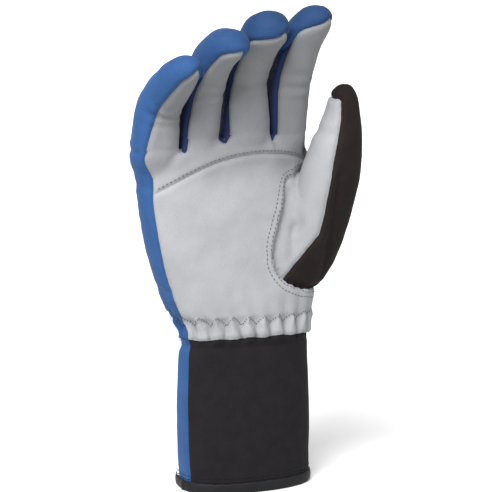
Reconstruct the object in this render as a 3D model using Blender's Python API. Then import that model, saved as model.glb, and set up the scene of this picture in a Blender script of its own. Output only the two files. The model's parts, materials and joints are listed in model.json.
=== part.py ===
"""Right-hand sailing glove with long cuff: every cut panel of the shell as its own closed solid.

The glove stands on its cuff hem at z = 0, fingers up (+Z), palm facing -Y, thumb at +X. Metres.
Each part of the glove is first made as one fabric shell and then cut along its seams into panels.
"""

import math

import bmesh
import bpy
import numpy as np

MM = 0.001
SHIFT = (-2.62, 7.85)    # moves the glove so that its bounding box stands centred on the origin, mm
WALL = 1.7            # fabric laminate thickness, mm
SEAM = 0.35           # gap left between two sewn panels, mm
JOINT_GAP = 0.5       # least gap between two moving parts, mm
SKIN_N = 2.4          # superellipse power of finger tubes
HAND_N = 2.6          # superellipse power of hand and cuff

HEM_H = 6.0           # hem binding height
HEM_OUT = 1.0         # how far the binding stands proud of the cuff
CUFF_TOP = 86.0
WRIST_Z = 95.0        # height of the wrist hinge line
HAND_LOW = 104.0

# Hand and cuff stations: height, centre x, half width, centre y, half depth.
HAND_STATIONS = (
    (0.0, 1.0, 40.5, 0.0, 26.0),
    (40.0, 1.5, 40.5, 0.0, 25.0),
    (86.0, 1.5, 39.8, 0.0, 22.5),
    (95.0, 0.8, 40.5, 0.0, 22.0),
    (104.0, -0.5, 44.5, 0.0, 22.5),
    (125.0, -4.0, 50.0, 0.0, 21.5),
    (150.0, -7.5, 53.0, 0.0, 20.5),
    (175.0, -10.5, 54.5, 0.0, 18.5),
    (200.0, -12.0, 54.5, -0.5, 15.0),
    (216.0, -12.0, 54.5, -1.0, 13.0),
)

# Fingers: base x, base z, half width, half depth, base tilt, tip tilt, base lean, tip lean,
# length to the middle knuckle, length from there to the tip (degrees and mm).
FINGERS = {
    "little": (-53.6, 203.0, 12.8, 11.8, 17.0, 47.0, 1.0, 5.0, 28.0, 41.0),
    "ring": (-26.6, 208.5, 13.1, 12.4, 14.0, 40.0, 0.0, 5.0, 32.0, 47.0),
    "middle": (1.0, 212.0, 13.4, 12.6, 13.0, 37.0, 0.0, 4.0, 34.0, 49.0),
    "index": (29.8, 210.0, 13.6, 12.4, 8.0, 26.0, 0.0, 4.0, 34.0, 51.0),
}
FINGER_Y = -1.0
BASE_FLEX = 50.0
KNUCKLE_FLEX = 50.0
EXTEND = 12.0
SIDE_SHARE = 0.80     # part of the half width covered by front and back panels
TIP_ROUND = 13.0      # length of the rounded fingertip
TIP_FOLD = 11.0       # how far the back panel folds over the tip towards the pad

# Thumb centreline: x, y, z and half sizes across and along its flexing direction.
THUMB_LINE = (
    (33.0, -5.0, 124.0, 9.0, 12.0),
    (40.0, -9.5, 148.0, 14.0, 17.5),
    (46.0, -14.0, 168.0, 14.8, 17.4),
    (51.3, -17.0, 188.0, 14.0, 16.0),
    (55.5, -19.0, 206.0, 13.2, 14.4),
    (58.5, -20.5, 222.0, 12.3, 12.6),
    (60.5, -22.0, 243.5, 11.8, 11.8),
)
THUMB_FACE = math.radians(196.0)    # bearing that the thumb pad faces, seen from above
THUMB_BASE_Z = 172.0
THUMB_TIP_Z = 207.0
THUMB_BASE_FLEX = 30.0
THUMB_TIP_FLEX = 45.0
PAD_HALF = math.radians(62.0)

COLOURS = {
    "suede": ((0.42, 0.43, 0.45), 0.85),
    "softshell": ((0.045, 0.145, 0.42), 0.75),
    "gusset": ((0.012, 0.03, 0.12), 0.8),
    "black": ((0.022, 0.020, 0.021), 0.85),
    "white": ((0.72, 0.73, 0.74), 0.8),
    "knit": ((0.36, 0.34, 0.31), 0.9),
    "thread": ((0.38, 0.39, 0.41), 0.6),
}


def clear_scene():
    for obj in list(bpy.data.objects):
        bpy.data.objects.remove(obj, do_unlink=True)


def material(name):
    found = bpy.data.materials.get(name)
    if found:
        return found
    colour, rough = COLOURS[name]
    made = bpy.data.materials.new(name)
    made.use_nodes = True
    shader = made.node_tree.nodes["Principled BSDF"]
    shader.inputs["Base Color"].default_value = (*colour, 1.0)
    shader.inputs["Roughness"].default_value = rough
    shader.inputs["Metallic"].default_value = 0.0
    made.diffuse_color = (*colour, 1.0)
    return made


def new_object(name, verts, faces, colour=None, hidden=False):
    """A mesh object from points in mm before the shift, with its faces turned outward."""
    mesh = bpy.data.meshes.new(name)
    placed = [((v[0] + SHIFT[0]) * MM, (v[1] + SHIFT[1]) * MM, v[2] * MM) for v in verts]
    mesh.from_pydata([tuple(float(c) for c in v) for v in placed], [], faces)
    bm = bmesh.new()
    bm.from_mesh(mesh)
    bmesh.ops.recalc_face_normals(bm, faces=bm.faces)
    bm.to_mesh(mesh)
    bm.free()
    obj = bpy.data.objects.new(name, mesh)
    bpy.context.scene.collection.objects.link(obj)
    if colour:
        mesh.materials.append(material(colour))
    if hidden:
        obj.hide_render = True
        obj.display_type = "WIRE"
    return obj


def smooth(obj, degrees=40.0):
    """Smooth shading that keeps the cut edges sharp."""
    mesh = obj.data
    for poly in mesh.polygons:
        poly.use_smooth = True
    bm = bmesh.new()
    bm.from_mesh(mesh)
    for edge in bm.edges:
        if len(edge.link_faces) == 2:
            edge.smooth = edge.calc_face_angle(0.0) < math.radians(degrees)
    bm.to_mesh(mesh)
    bm.free()


def superellipse(phi, n):
    c, s = math.cos(phi), math.sin(phi)
    return (
        math.copysign(abs(c) ** (2.0 / n), c),
        math.copysign(abs(s) ** (2.0 / n), s),
    )


def blend_rows(rows, key):
    """Smooth interpolation of rows of numbers whose column 0 rises."""
    table = np.array(rows, float)
    x = table[:, 0]
    slopes = np.gradient(table, x, axis=0)
    i = int(np.clip(np.searchsorted(x, key) - 1, 0, len(x) - 2))
    h = x[i + 1] - x[i]
    t = (key - x[i]) / h
    if t < 0.0 or t > 1.0:
        j = i if t < 0.0 else i + 1
        return table[j] + slopes[j] * (key - x[j])
    t2, t3 = t * t, t * t * t
    return (
        (2 * t3 - 3 * t2 + 1) * table[i]
        + (t3 - 2 * t2 + t) * h * slopes[i]
        + (3 * t2 - 2 * t3) * table[i + 1]
        + (t3 - t2) * h * slopes[i + 1]
    )


def hand_point(z, phi, inset=0.0):
    _, cx, a, cy, b = blend_rows(HAND_STATIONS, z)
    c, s = superellipse(phi, HAND_N)
    return np.array([cx + (a - inset) * c, cy - (b - inset) * s, z])


def shell(outer, inner, tip=False):
    """Closed solid between two stacks of rings, open at both ends or domed at the last one."""
    n = len(outer[0])
    verts = [p for ring in outer for p in ring] + [p for ring in inner for p in ring]
    base = len(outer) * n
    faces = []
    for start, rows in ((0, len(outer)), (base, len(inner))):
        for r in range(rows - 1):
            for k in range(n):
                a = start + r * n + k
                b = start + r * n + (k + 1) % n
                faces.append((a, b, b + n, a + n))
    for k in range(n):
        faces.append((k, (k + 1) % n, base + (k + 1) % n, base + k))
    end_out, end_in = (len(outer) - 1) * n, base + (len(inner) - 1) * n
    if tip:
        faces.append(tuple(end_out + k for k in range(n)))
        faces.append(tuple(end_in + k for k in range(n)))
    else:
        for k in range(n):
            m = (k + 1) % n
            faces.append((end_out + k, end_out + m, end_in + m, end_in + k))
    return verts, faces


class Tube:
    """A bent finger-like tube: centreline frames by arc length, flexing towards its front."""

    def __init__(self, lengths, points, fronts, halves):
        self.s = np.array(lengths)
        self.c = np.array(points)
        self.f = np.array(fronts)
        self.h = np.array(halves)

    def frame(self, s):
        c = np.array([np.interp(s, self.s, self.c[:, k]) for k in range(3)])
        near = float(np.clip(s, self.s[0] + 0.5, self.s[-1] - 0.5))
        lo = np.array([np.interp(near - 0.5, self.s, self.c[:, k]) for k in range(3)])
        hi = np.array([np.interp(near + 0.5, self.s, self.c[:, k]) for k in range(3)])
        d = hi - lo
        d /= np.linalg.norm(d)
        c = c + d * (max(s - self.s[-1], 0.0) + min(s - self.s[0], 0.0))
        f = np.array([np.interp(s, self.s, self.f[:, k]) for k in range(3)])
        f -= d * f.dot(d)
        f /= np.linalg.norm(f)
        u = np.cross(d, f)
        half = [np.interp(s, self.s, self.h[:, k]) for k in range(2)]
        return c, d, u, f, half

    def point(self, s, phi, inset=0.0):
        c, _, u, f, (a, b) = self.frame(s)
        ca, sa = superellipse(phi, SKIN_N)
        return c + u * (a - inset) * ca + f * (b - inset) * sa


def finger_tube(name):
    x, z, a, b, tilt0, tilt1, lean0, lean1, len0, len1 = FINGERS[name]
    step = 0.5
    total = len0 + len1
    s, p = 0.0, np.array([x, FINGER_Y, z])
    lengths, points, fronts, halves = [], [], [], []
    below = 16.0
    lengths.append(-below)
    points.append(p - np.array([0, 0, below]))
    fronts.append((0.0, -1.0, 0.0))
    halves.append((a, b))
    while s <= total + 1e-6:
        w0 = np.clip((s + 5.0) / 10.0, 0, 1)
        w1 = np.clip((s - len0 + 7.0) / 14.0, 0, 1)
        tilt = math.radians(tilt0 * w0 + (tilt1 - tilt0) * w1)
        lean = math.radians(lean0 * w0 + (lean1 - lean0) * w1)
        d = np.array([math.tan(lean), -math.sin(tilt), math.cos(tilt)])
        d /= np.linalg.norm(d)
        slim = 1.0 - 0.10 * max(0.0, s / total)
        left = (total - s) / TIP_ROUND
        dome = 1.0 if left > 1 else max(0.0, 1.0 - (1.0 - left) ** 2.3) ** (1 / 2.3)
        lengths.append(s)
        points.append(p.copy())
        fronts.append(tuple(np.array([0.0, -1.0, 0.0]) - d * (-d[1])))
        halves.append((max(a * slim * dome, 0.05), max(b * slim * dome, 0.05)))
        p = p + d * step
        s += step
    return Tube(lengths, points, fronts, halves)


def thumb_tube():
    line = np.array(THUMB_LINE)
    zs = np.arange(line[0, 2], line[-1, 2] + 0.01, 0.5)
    rows = [blend_rows(line[:, [2, 0, 1, 3, 4]], z) for z in zs]
    points = np.array([(r[1], r[2], z) for r, z in zip(rows, zs)])
    s = np.concatenate([[0.0], np.cumsum(np.linalg.norm(np.diff(points, axis=0), axis=1))])
    halves = []
    for length, r in zip(s, rows):
        left = (s[-1] - length) / (TIP_ROUND + 1.0)
        dome = 1.0 if left > 1 else max(0.0, 1.0 - (1.0 - left) ** 2.3) ** (1 / 2.3)
        halves.append((max(r[3] * dome, 0.05), max(r[4] * dome, 0.05)))
    face = (math.cos(THUMB_FACE), math.sin(THUMB_FACE), 0.0)
    tube = Tube(s, points, [face] * len(s), halves)
    tube.zs = zs
    return tube


def at_height(tube, z):
    return float(np.interp(z, tube.zs, tube.s))


def ring_rows(place, s0, s1, count, rounds, inset):
    """Rings from s0(phi) to s1(phi), each a list of points."""
    phis = [2 * math.pi * k / rounds for k in range(rounds)]
    rows = []
    for r in range(count):
        t = r / (count - 1)
        rows.append([place(s0(q) + (s1(q) - s0(q)) * t, q, inset) for q in phis])
    return rows


def tube_shell(place, s0, s1, rows, rounds, wall=WALL, inset=0.0):
    outer = ring_rows(place, s0, s1, rows, rounds, inset)
    inner = ring_rows(place, s0, s1, rows, rounds, inset + wall)
    return shell(outer, inner)


def patch(place, s0, s1, phi0, phi1, rows, cols, wall=WALL, inset=0.0):
    """Closed solid of one strip of the wall, between two bearings."""
    verts, faces = [], []
    for depth in (inset, inset + wall):
        for r in range(rows):
            t = r / (rows - 1)
            for k in range(cols):
                q = phi0 + (phi1 - phi0) * k / (cols - 1)
                verts.append(place(s0(q) + (s1(q) - s0(q)) * t, q, depth))
    half = rows * cols

    def quad(a, b, c, d):
        faces.append((a, b, c, d))

    for r in range(rows - 1):
        for k in range(cols - 1):
            a = r * cols + k
            quad(a, a + 1, a + 1 + cols, a + cols)
            quad(half + a, half + a + cols, half + a + cols + 1, half + a + 1)
    for r in range(rows - 1):
        for k in (0, cols - 1):
            a = r * cols + k
            quad(a, a + cols, half + a + cols, half + a)
    for k in range(cols - 1):
        for r in (0, rows - 1):
            a = r * cols + k
            quad(a, half + a, half + a + 1, a + 1)
    return verts, faces


def cut(obj, tools, operation="DIFFERENCE"):
    for tool in tools:
        mod = obj.modifiers.new("cut", "BOOLEAN")
        mod.operation = operation
        mod.solver = "EXACT"
        mod.object = tool
        graph = bpy.context.evaluated_depsgraph_get()
        mesh = bpy.data.meshes.new_from_object(obj.evaluated_get(graph))
        obj.modifiers.clear()
        obj.data = mesh
    return obj


def drop(objs):
    for obj in objs:
        bpy.data.objects.remove(obj, do_unlink=True)


def loose_parts(obj):
    """Splits the mesh into its separate pieces: (middle of the piece in mm, verts, faces)."""
    bm = bmesh.new()
    bm.from_mesh(obj.data)
    bmesh.ops.remove_doubles(bm, verts=bm.verts, dist=2e-6)
    bmesh.ops.dissolve_degenerate(bm, edges=bm.edges, dist=1e-6)
    bmesh.ops.triangulate(bm, faces=[f for f in bm.faces if len(f.verts) > 4])
    seen, found = set(), []
    for first in bm.verts:
        if first in seen:
            continue
        group, stack = [], [first]
        seen.add(first)
        while stack:
            v = stack.pop()
            group.append(v)
            for e in v.link_edges:
                w = e.other_vert(v)
                if w not in seen:
                    seen.add(w)
                    stack.append(w)
        index = {v: i for i, v in enumerate(group)}
        pts = np.array([v.co for v in group]) / MM - np.array([*SHIFT, 0.0])
        faces = [
            tuple(index[v] for v in f.verts) for f in bm.faces if f.verts[0] in index
        ]
        if len(faces) > 8:
            found.append((pts.mean(axis=0), pts, faces))
    bm.free()
    return found


def slit(path, reach0, reach1, width=SEAM):
    """A thin ribbon solid along a path of points, reaching along each point's own direction."""
    pts = [np.array(p, float) for p, _, _ in path]
    outs = [np.array(o, float) for _, o, _ in path]
    sides = [np.array(w, float) for _, _, w in path]
    verts = []
    for p, o, w in zip(pts, outs, sides):
        w = w / np.linalg.norm(w) * width / 2
        verts += [p + o * reach0 - w, p + o * reach0 + w, p + o * reach1 + w, p + o * reach1 - w]
    faces = [(0, 1, 2, 3), tuple(len(verts) - 4 + k for k in range(4))]
    for r in range(len(path) - 1):
        for k in range(4):
            a, b = r * 4 + k, r * 4 + (k + 1) % 4
            faces.append((a, b, b + 4, a + 4))
    return new_object("slit", verts, faces, hidden=True)


def name_nearest(parts, spots):
    """Names each loose piece after the nearest marked spot on it."""
    for name, (spot, colour) in spots.items():
        spot = np.array(spot, float)
        best = min(parts, key=lambda p: np.min(np.linalg.norm(p[1] - spot, axis=1)))
        parts = [p for p in parts if p is not best]
        smooth(new_object(name, best[1], best[2], colour))
    if parts:
        print("left over pieces:", [np.round(p[0], 1).tolist() for p in parts])


def lengthwise_slit(place, s_list, phi, inset_in=4.0, inset_out=-3.0):
    """Ribbon that cuts a tube wall along one bearing."""
    path = []
    for s in s_list:
        mid = place(s, phi, 0.0)
        out = place(s, phi, inset_out) - place(s, phi, inset_in)
        out /= np.linalg.norm(out)
        side = place(s, phi + 0.02, 0.0) - place(s, phi - 0.02, 0.0)
        side -= out * side.dot(out)
        path.append((mid, out, side))
    return slit(path, -inset_in, -inset_out)


def front_gap(tube, s, flex, rest_bend):
    """How far each bearing of a tube is cut back at a hinge so that the tube can flex."""
    half = tube.frame(s)[4][1]

    def gap(phi):
        depth = half * superellipse(phi, SKIN_N)[1]
        if depth >= 0:
            return JOINT_GAP + depth * math.tan(math.radians(flex + rest_bend) / 2)
        return JOINT_GAP - depth * math.tan(math.radians(EXTEND) / 2)

    return gap


SIDE_PHI = math.acos(SIDE_SHARE ** (SKIN_N / 2))


def cut_sides(tube, obj, s_list, left, right):
    """Cuts a finger shell into front, back and the side strips asked for."""
    tools = []
    bearings = []
    bearings += [SIDE_PHI, -SIDE_PHI] if right else [SIDE_PHI * 0.6]
    bearings += [math.pi - SIDE_PHI, math.pi + SIDE_PHI] if left else [math.pi - SIDE_PHI * 0.3]
    for phi in bearings:
        tools.append(lengthwise_slit(tube.point, s_list, phi))
    cut(obj, tools)
    drop(tools)


def crease(name, tube, s_mid, below, above, clear=0.1, colour="suede"):
    """The wedge of palm-side fabric that folds up when a joint flexes."""
    edge = math.radians(38.0)
    verts, faces = patch(
        tube.point,
        lambda q: s_mid - below(q) + JOINT_GAP + clear,
        lambda q: s_mid + above(q) - JOINT_GAP - 0.1,
        edge,
        math.pi - edge,
        4,
        7,
    )
    smooth(new_object(name, verts, faces, colour))


def make_finger(name):
    tube = finger_tube(name)
    _, _, _, _, tilt0, tilt1, _, _, len0, len1 = FINGERS[name]
    left, right = name != "little", name != "index"
    base_gap = front_gap(tube, 0.0, BASE_FLEX, tilt0)
    mid_gap = front_gap(tube, len0, KNUCKLE_FLEX, tilt1 - tilt0)
    rounds = 20

    start, end = base_gap, lambda q: len0 - mid_gap(q)
    verts, faces = tube_shell(tube.point, start, end, 4, rounds)
    prox = new_object("prox", verts, faces)
    stations = np.linspace(-3.0, len0 + 3.0, 5)
    cut_sides(tube, prox, stations, left, right)
    middle = len0 * 0.5
    spots = {
        f"{name}_front_lower": (tube.point(middle, math.pi / 2), "suede"),
        f"{name}_back_lower": (tube.point(middle, -math.pi / 2), "softshell"),
    }
    if left:
        spots[f"{name}_fourchette_ulnar_lower"] = (tube.point(middle, math.pi), "gusset")
    if right:
        spots[f"{name}_fourchette_radial_lower"] = (tube.point(middle, 0.0), "gusset")
    parts = loose_parts(prox)
    drop([prox])
    name_nearest(parts, spots)

    total = len0 + len1
    marks = (0.0, 0.3, 0.65, 1.0)
    s_dome = total - TIP_ROUND
    inner_end = total - WALL
    outer, inner = [], []
    phis = [2 * math.pi * k / rounds for k in range(rounds)]
    for t in marks:
        ring = [len0 + mid_gap(q) + (s_dome - len0 - mid_gap(q)) * t for q in phis]
        outer.append([tube.point(s, q) for s, q in zip(ring, phis)])
        inner.append([tube.point(s, q, WALL) for s, q in zip(ring, phis)])
    for k in range(1, 5):
        t = math.sin(math.pi / 2 * k / 4.2)
        s = s_dome + TIP_ROUND * t
        outer.append([tube.point(s, q) for q in phis])
        s_in = s_dome + (inner_end - s_dome) * t
        frame = tube.frame(s_in)
        scale_a = max(frame[4][0] * inner_scale(t) - WALL, 0.3)
        scale_b = max(frame[4][1] * inner_scale(t) - WALL, 0.3)
        ring = []
        for q in phis:
            ca, sa = superellipse(q, SKIN_N)
            ring.append(frame[0] + frame[2] * scale_a * ca + frame[3] * scale_b * sa)
        inner.append(ring)
    verts, faces = shell(outer, inner, tip=True)
    dist = new_object("dist", verts, faces)
    s_fold = total - TIP_FOLD
    stations = list(np.linspace(len0 - 3.0, s_fold, 5))
    sides = [p for p, on in (((0.0, right)), ((math.pi, left))) if on]
    tools = []
    for phi in (SIDE_PHI if right else SIDE_PHI * 0.6, math.pi - (SIDE_PHI if left else SIDE_PHI * 0.3)):
        tools.append(lengthwise_slit(tube.point, stations, phi))
    for phi in sides:
        sign = -1 if phi == 0.0 else 1
        tools.append(lengthwise_slit(tube.point, stations, phi + sign * SIDE_PHI))
    over = 0.06
    first = -SIDE_PHI - over if right else SIDE_PHI * 0.6 - over
    last = math.pi + SIDE_PHI + over if left else math.pi - SIDE_PHI * 0.3 + over
    tools.append(fold_slit(tube, s_fold, first, last))
    cut(dist, tools)
    drop(tools)
    middle = (len0 + s_dome) / 2
    spots = {
        f"{name}_front_upper": (tube.point(middle, math.pi / 2), "suede"),
        f"{name}_back_upper": (tube.point(middle, -math.pi / 2), "softshell"),
    }
    if left:
        spots[f"{name}_fourchette_ulnar_upper"] = (tube.point(middle, math.pi), "gusset")
    if right:
        spots[f"{name}_fourchette_radial_upper"] = (tube.point(middle, 0.0), "gusset")
    parts = loose_parts(dist)
    drop([dist])
    name_nearest(parts, spots)

    crease(f"{name}_base_crease", tube, 0.0, base_gap, base_gap, 1.0)
    crease(f"{name}_knuckle_crease", tube, len0, mid_gap, mid_gap)
    return tube


def inner_scale(t):
    """Keeps the inside of a domed tip a wall's thickness under the outside."""
    return 1.0 - 0.10 * t


def fold_slit(tube, s, phi0, phi1):
    """Crosswise cut where the back panel, folded over the tip, meets the front and the sides."""
    path = []
    _, d, u, f, _ = tube.frame(s)
    for k in range(15):
        phi = phi0 + (phi1 - phi0) * k / 14
        out = u * math.cos(phi) + f * math.sin(phi)
        path.append((tube.point(s, phi), out / np.linalg.norm(out), d))
    return slit(path, -4.5, 3.0)


def make_cuff():
    rounds = 36
    base = HEM_H + SEAM
    verts, faces = tube_shell(hand_point, lambda q: base, lambda q: CUFF_TOP, 5, rounds)
    cuff = new_object("cuff", verts, faces)
    stations = np.linspace(0.0, CUFF_TOP + 4.0, 4)
    edges = {"front": math.radians(158.0), "side": math.radians(192.0), "radial": math.radians(-12.0)}
    tools = [lengthwise_slit(hand_point, stations, q) for q in edges.values()]
    cut(cuff, tools)
    drop(tools)
    parts = loose_parts(cuff)
    drop([cuff])
    name_nearest(
        parts,
        {
            "cuff_front_panel": (hand_point(45.0, math.pi / 2), "black"),
            "cuff_side_strip": (hand_point(45.0, math.radians(175.0)), "softshell"),
            "cuff_back_panel": (hand_point(45.0, -math.pi / 2), "white"),
        },
    )
    outer = ring_rows(hand_point, lambda q: 0.0, lambda q: HEM_H, 3, rounds, -HEM_OUT)
    inner = ring_rows(hand_point, lambda q: 0.0, lambda q: HEM_H, 3, rounds, WALL + HEM_OUT)
    verts, faces = shell(outer, inner)
    hem = new_object("hem_binding", verts, faces, "black")
    smooth(hem)


def make_wrist():
    rounds_front, rounds_back = 19, 21
    low, high = CUFF_TOP + SEAM, HAND_LOW - SEAM
    edge = math.radians(158.0)
    rear = math.radians(-12.0)
    hook = math.radians(0.6)
    verts, faces = patch(
        hand_point, lambda q: low, lambda q: high, rear + hook, edge - hook, 4, rounds_front
    )
    smooth(new_object("wrist_gather_front", verts, faces, "suede"))
    verts, faces = patch(
        hand_point,
        lambda q: low,
        lambda q: high,
        edge + hook,
        rear + 2 * math.pi - hook,
        4,
        rounds_back,
    )
    smooth(new_object("wrist_gather_back", verts, faces, "white"))
    make_zigzag()


def make_zigzag():
    """The zigzag row that holds the wrist elastic, as one thin bent thread."""
    teeth = 9
    points, outs = [], []
    for k in range(teeth * 2 + 1):
        phi = math.radians(14.0) + math.radians(138.0) * k / (teeth * 2)
        z = 99.5 if k % 2 else 94.0
        points.append(hand_point(z, phi, -1.0))
        outs.append(hand_point(z, phi, -1.0) - hand_point(z, phi))
    thread_object("wrist_zigzag_stitch", points, 0.55, outs)


def thread_object(name, points, radius, outs, colour="thread"):
    """A square-section thread swept along points; outs point away from the fabric."""
    points = [np.array(p, float) for p in points]
    verts = []
    for k, p in enumerate(points):
        before = points[max(k - 1, 0)]
        after = points[min(k + 1, len(points) - 1)]
        run0 = (p - before) if k else (after - p)
        run1 = (after - p) if k < len(points) - 1 else (p - before)
        run0, run1 = run0 / np.linalg.norm(run0), run1 / np.linalg.norm(run1)
        out = outs[k] / np.linalg.norm(outs[k])
        side = np.cross(out, run0) + np.cross(out, run1)
        side /= np.linalg.norm(side)
        miter = max(float(np.dot(side, np.cross(out, run0))), 0.45)
        for c, s in ((1, 0), (0, 1), (-1, 0), (0, -1)):
            verts.append(p + side * (radius * c / miter) + out * (radius * s))
    faces = [(0, 1, 2, 3), tuple(len(verts) - 4 + k for k in range(4))]
    for r in range(len(points) - 1):
        for k in range(4):
            a, b = r * 4 + k, r * 4 + (k + 1) % 4
            faces.append((a, b, b + 4, a + 4))
    return smooth(new_object(name, verts, faces, colour), 60.0)


def hand_top(p):
    """Height of the hand shell's upper edge at a point: each finger's base, cut back in front."""
    names = list(FINGERS)
    xs = [FINGERS[n][0] for n in names]
    half = [(xs[k] + xs[k + 1]) / 2 for k in range(3)]
    k = int(np.searchsorted(half, p[0]))
    x, z, a, b, tilt0 = FINGERS[names[k]][:5]
    depth = FINGER_Y - p[1]
    if depth > 0:
        return z - JOINT_GAP - depth * math.tan(math.radians(BASE_FLEX + tilt0) / 2)
    return z - JOINT_GAP + depth * math.tan(math.radians(EXTEND) / 2)


def hand_top_at(phi):
    return hand_top(hand_point(204.0, phi))


def seam_at(phi):
    """Height of the palm seam at one bearing."""
    z = 185.0
    for _ in range(6):
        z = palm_seam_height(hand_point(z, phi)[0])
    return z


def palm_seam_height(x):
    """The curved seam between the lower and upper palm panels."""
    xs = (-70, -58, -49, -35, -20, -8, 10, 25, 36, 50)
    zs = (175, 179, 184, 190, 195, 197, 197, 195, 192, 190)
    return float(np.interp(x, xs, zs))


def thumb_hole(thumb):
    """The solid that leaves the thumb's opening, a little wider than the thumb itself."""
    low, high = at_height(thumb, 124.5), at_height(thumb, 200.0)
    stack = ring_rows(thumb.point, lambda q: low, lambda q: high, 8, 32, -SEAM)
    return plug("hole", stack)


def plug(name, stack):
    """Solid filling a stack of rings."""
    n = len(stack[0])
    verts = [p for ring in stack for p in ring]
    faces = [tuple(range(n)), tuple(len(verts) - n + k for k in range(n))]
    for r in range(len(stack) - 1):
        for k in range(n):
            a, b = r * n + k, r * n + (k + 1) % n
            faces.append((a, b, b + n, a + n))
    return new_object(name, verts, faces, hidden=True)


def make_hand(thumb):
    side, back_edge, rear, knit = (math.radians(v) for v in (155.0, 193.0, 352.0, 16.0))
    hook = math.radians(0.5)
    gap = SEAM / 2

    def panel(name, low, high, phi0, phi1, rows, cols, colour):
        verts, faces = patch(hand_point, low, high, phi0 + hook, phi1 - hook, rows, cols)
        obj = new_object(name, verts, faces, colour)
        return obj

    turn = 2 * math.pi
    lower = panel(
        "palm_lower_panel",
        lambda q: HAND_LOW,
        lambda q: seam_at(q) - gap,
        rear - turn,
        side,
        8,
        28,
        "suede",
    )
    upper = panel(
        "palm_upper_panel", lambda q: seam_at(q) + gap, hand_top_at, knit, side, 3, 36, "suede"
    )
    radial = panel(
        "radial_side_strip", lambda q: seam_at(q) + gap, hand_top_at, rear - turn, knit, 4, 6, "knit"
    )
    hole = thumb_hole(thumb)
    for obj in (lower, upper, radial):
        cut(obj, [hole])
    drop([hole])
    for obj in (lower, upper, radial):
        parts = loose_parts(obj)
        biggest = max(parts, key=lambda p: len(p[1]))
        name, colour = obj.name, obj.data.materials[0].name
        drop([obj])
        smooth(new_object(name, biggest[1], biggest[2], colour))
    smooth(
        panel("ulnar_side_strip", lambda q: HAND_LOW, hand_top_at, side, back_edge, 9, 7, "softshell")
    )
    smooth(
        panel("back_wrist_panel", lambda q: HAND_LOW, lambda q: 124.0, back_edge, rear, 3, 20, "white")
    )
    smooth(
        panel("back_hand_panel", lambda q: 124.0 + SEAM, hand_top_at, back_edge, rear, 6, 36, "softshell")
    )


def make_stitches(thumb):
    points, outs = [], []
    for k in range(22):
        phi = math.radians(24.0) + math.radians(126.0) * k / 21
        z = 188.0
        for _ in range(6):
            z = palm_seam_height(hand_point(z, phi)[0]) + 3.0
        points.append(hand_point(z, phi, -0.75))
        outs.append(points[-1] - hand_point(z, phi))
    thread_object("palm_seam_topstitch", points, 0.4, outs)

    points, outs = [], []
    for k in range(20):
        s = at_height(thumb, 130.0 + 58.0 * k / 19)
        found = thumb_meets_hand(thumb, s)
        if found is not None:
            z, phi = found
            points.append(hand_point(z, phi, -0.75))
            outs.append(points[-1] - hand_point(z, phi))
    thread_object("thumb_seam_topstitch", points, 0.4, outs)


def thumb_meets_hand(thumb, s):
    """Height and bearing on the palm beside the thumb hole, 5 mm towards the palm's middle."""
    z = thumb.frame(s)[0][2]
    for k in range(200):
        phi = math.radians(125.0 - 0.5 * k)
        p = hand_point(z, phi)
        q = p - thumb.frame(s)[0]
        _, _, u, f, (a, b) = thumb.frame(s)
        if (abs(q.dot(u)) / (a + 5.0)) ** SKIN_N + (abs(q.dot(f)) / (b + 5.0)) ** SKIN_N < 1.0:
            return z, phi
    return None


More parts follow.
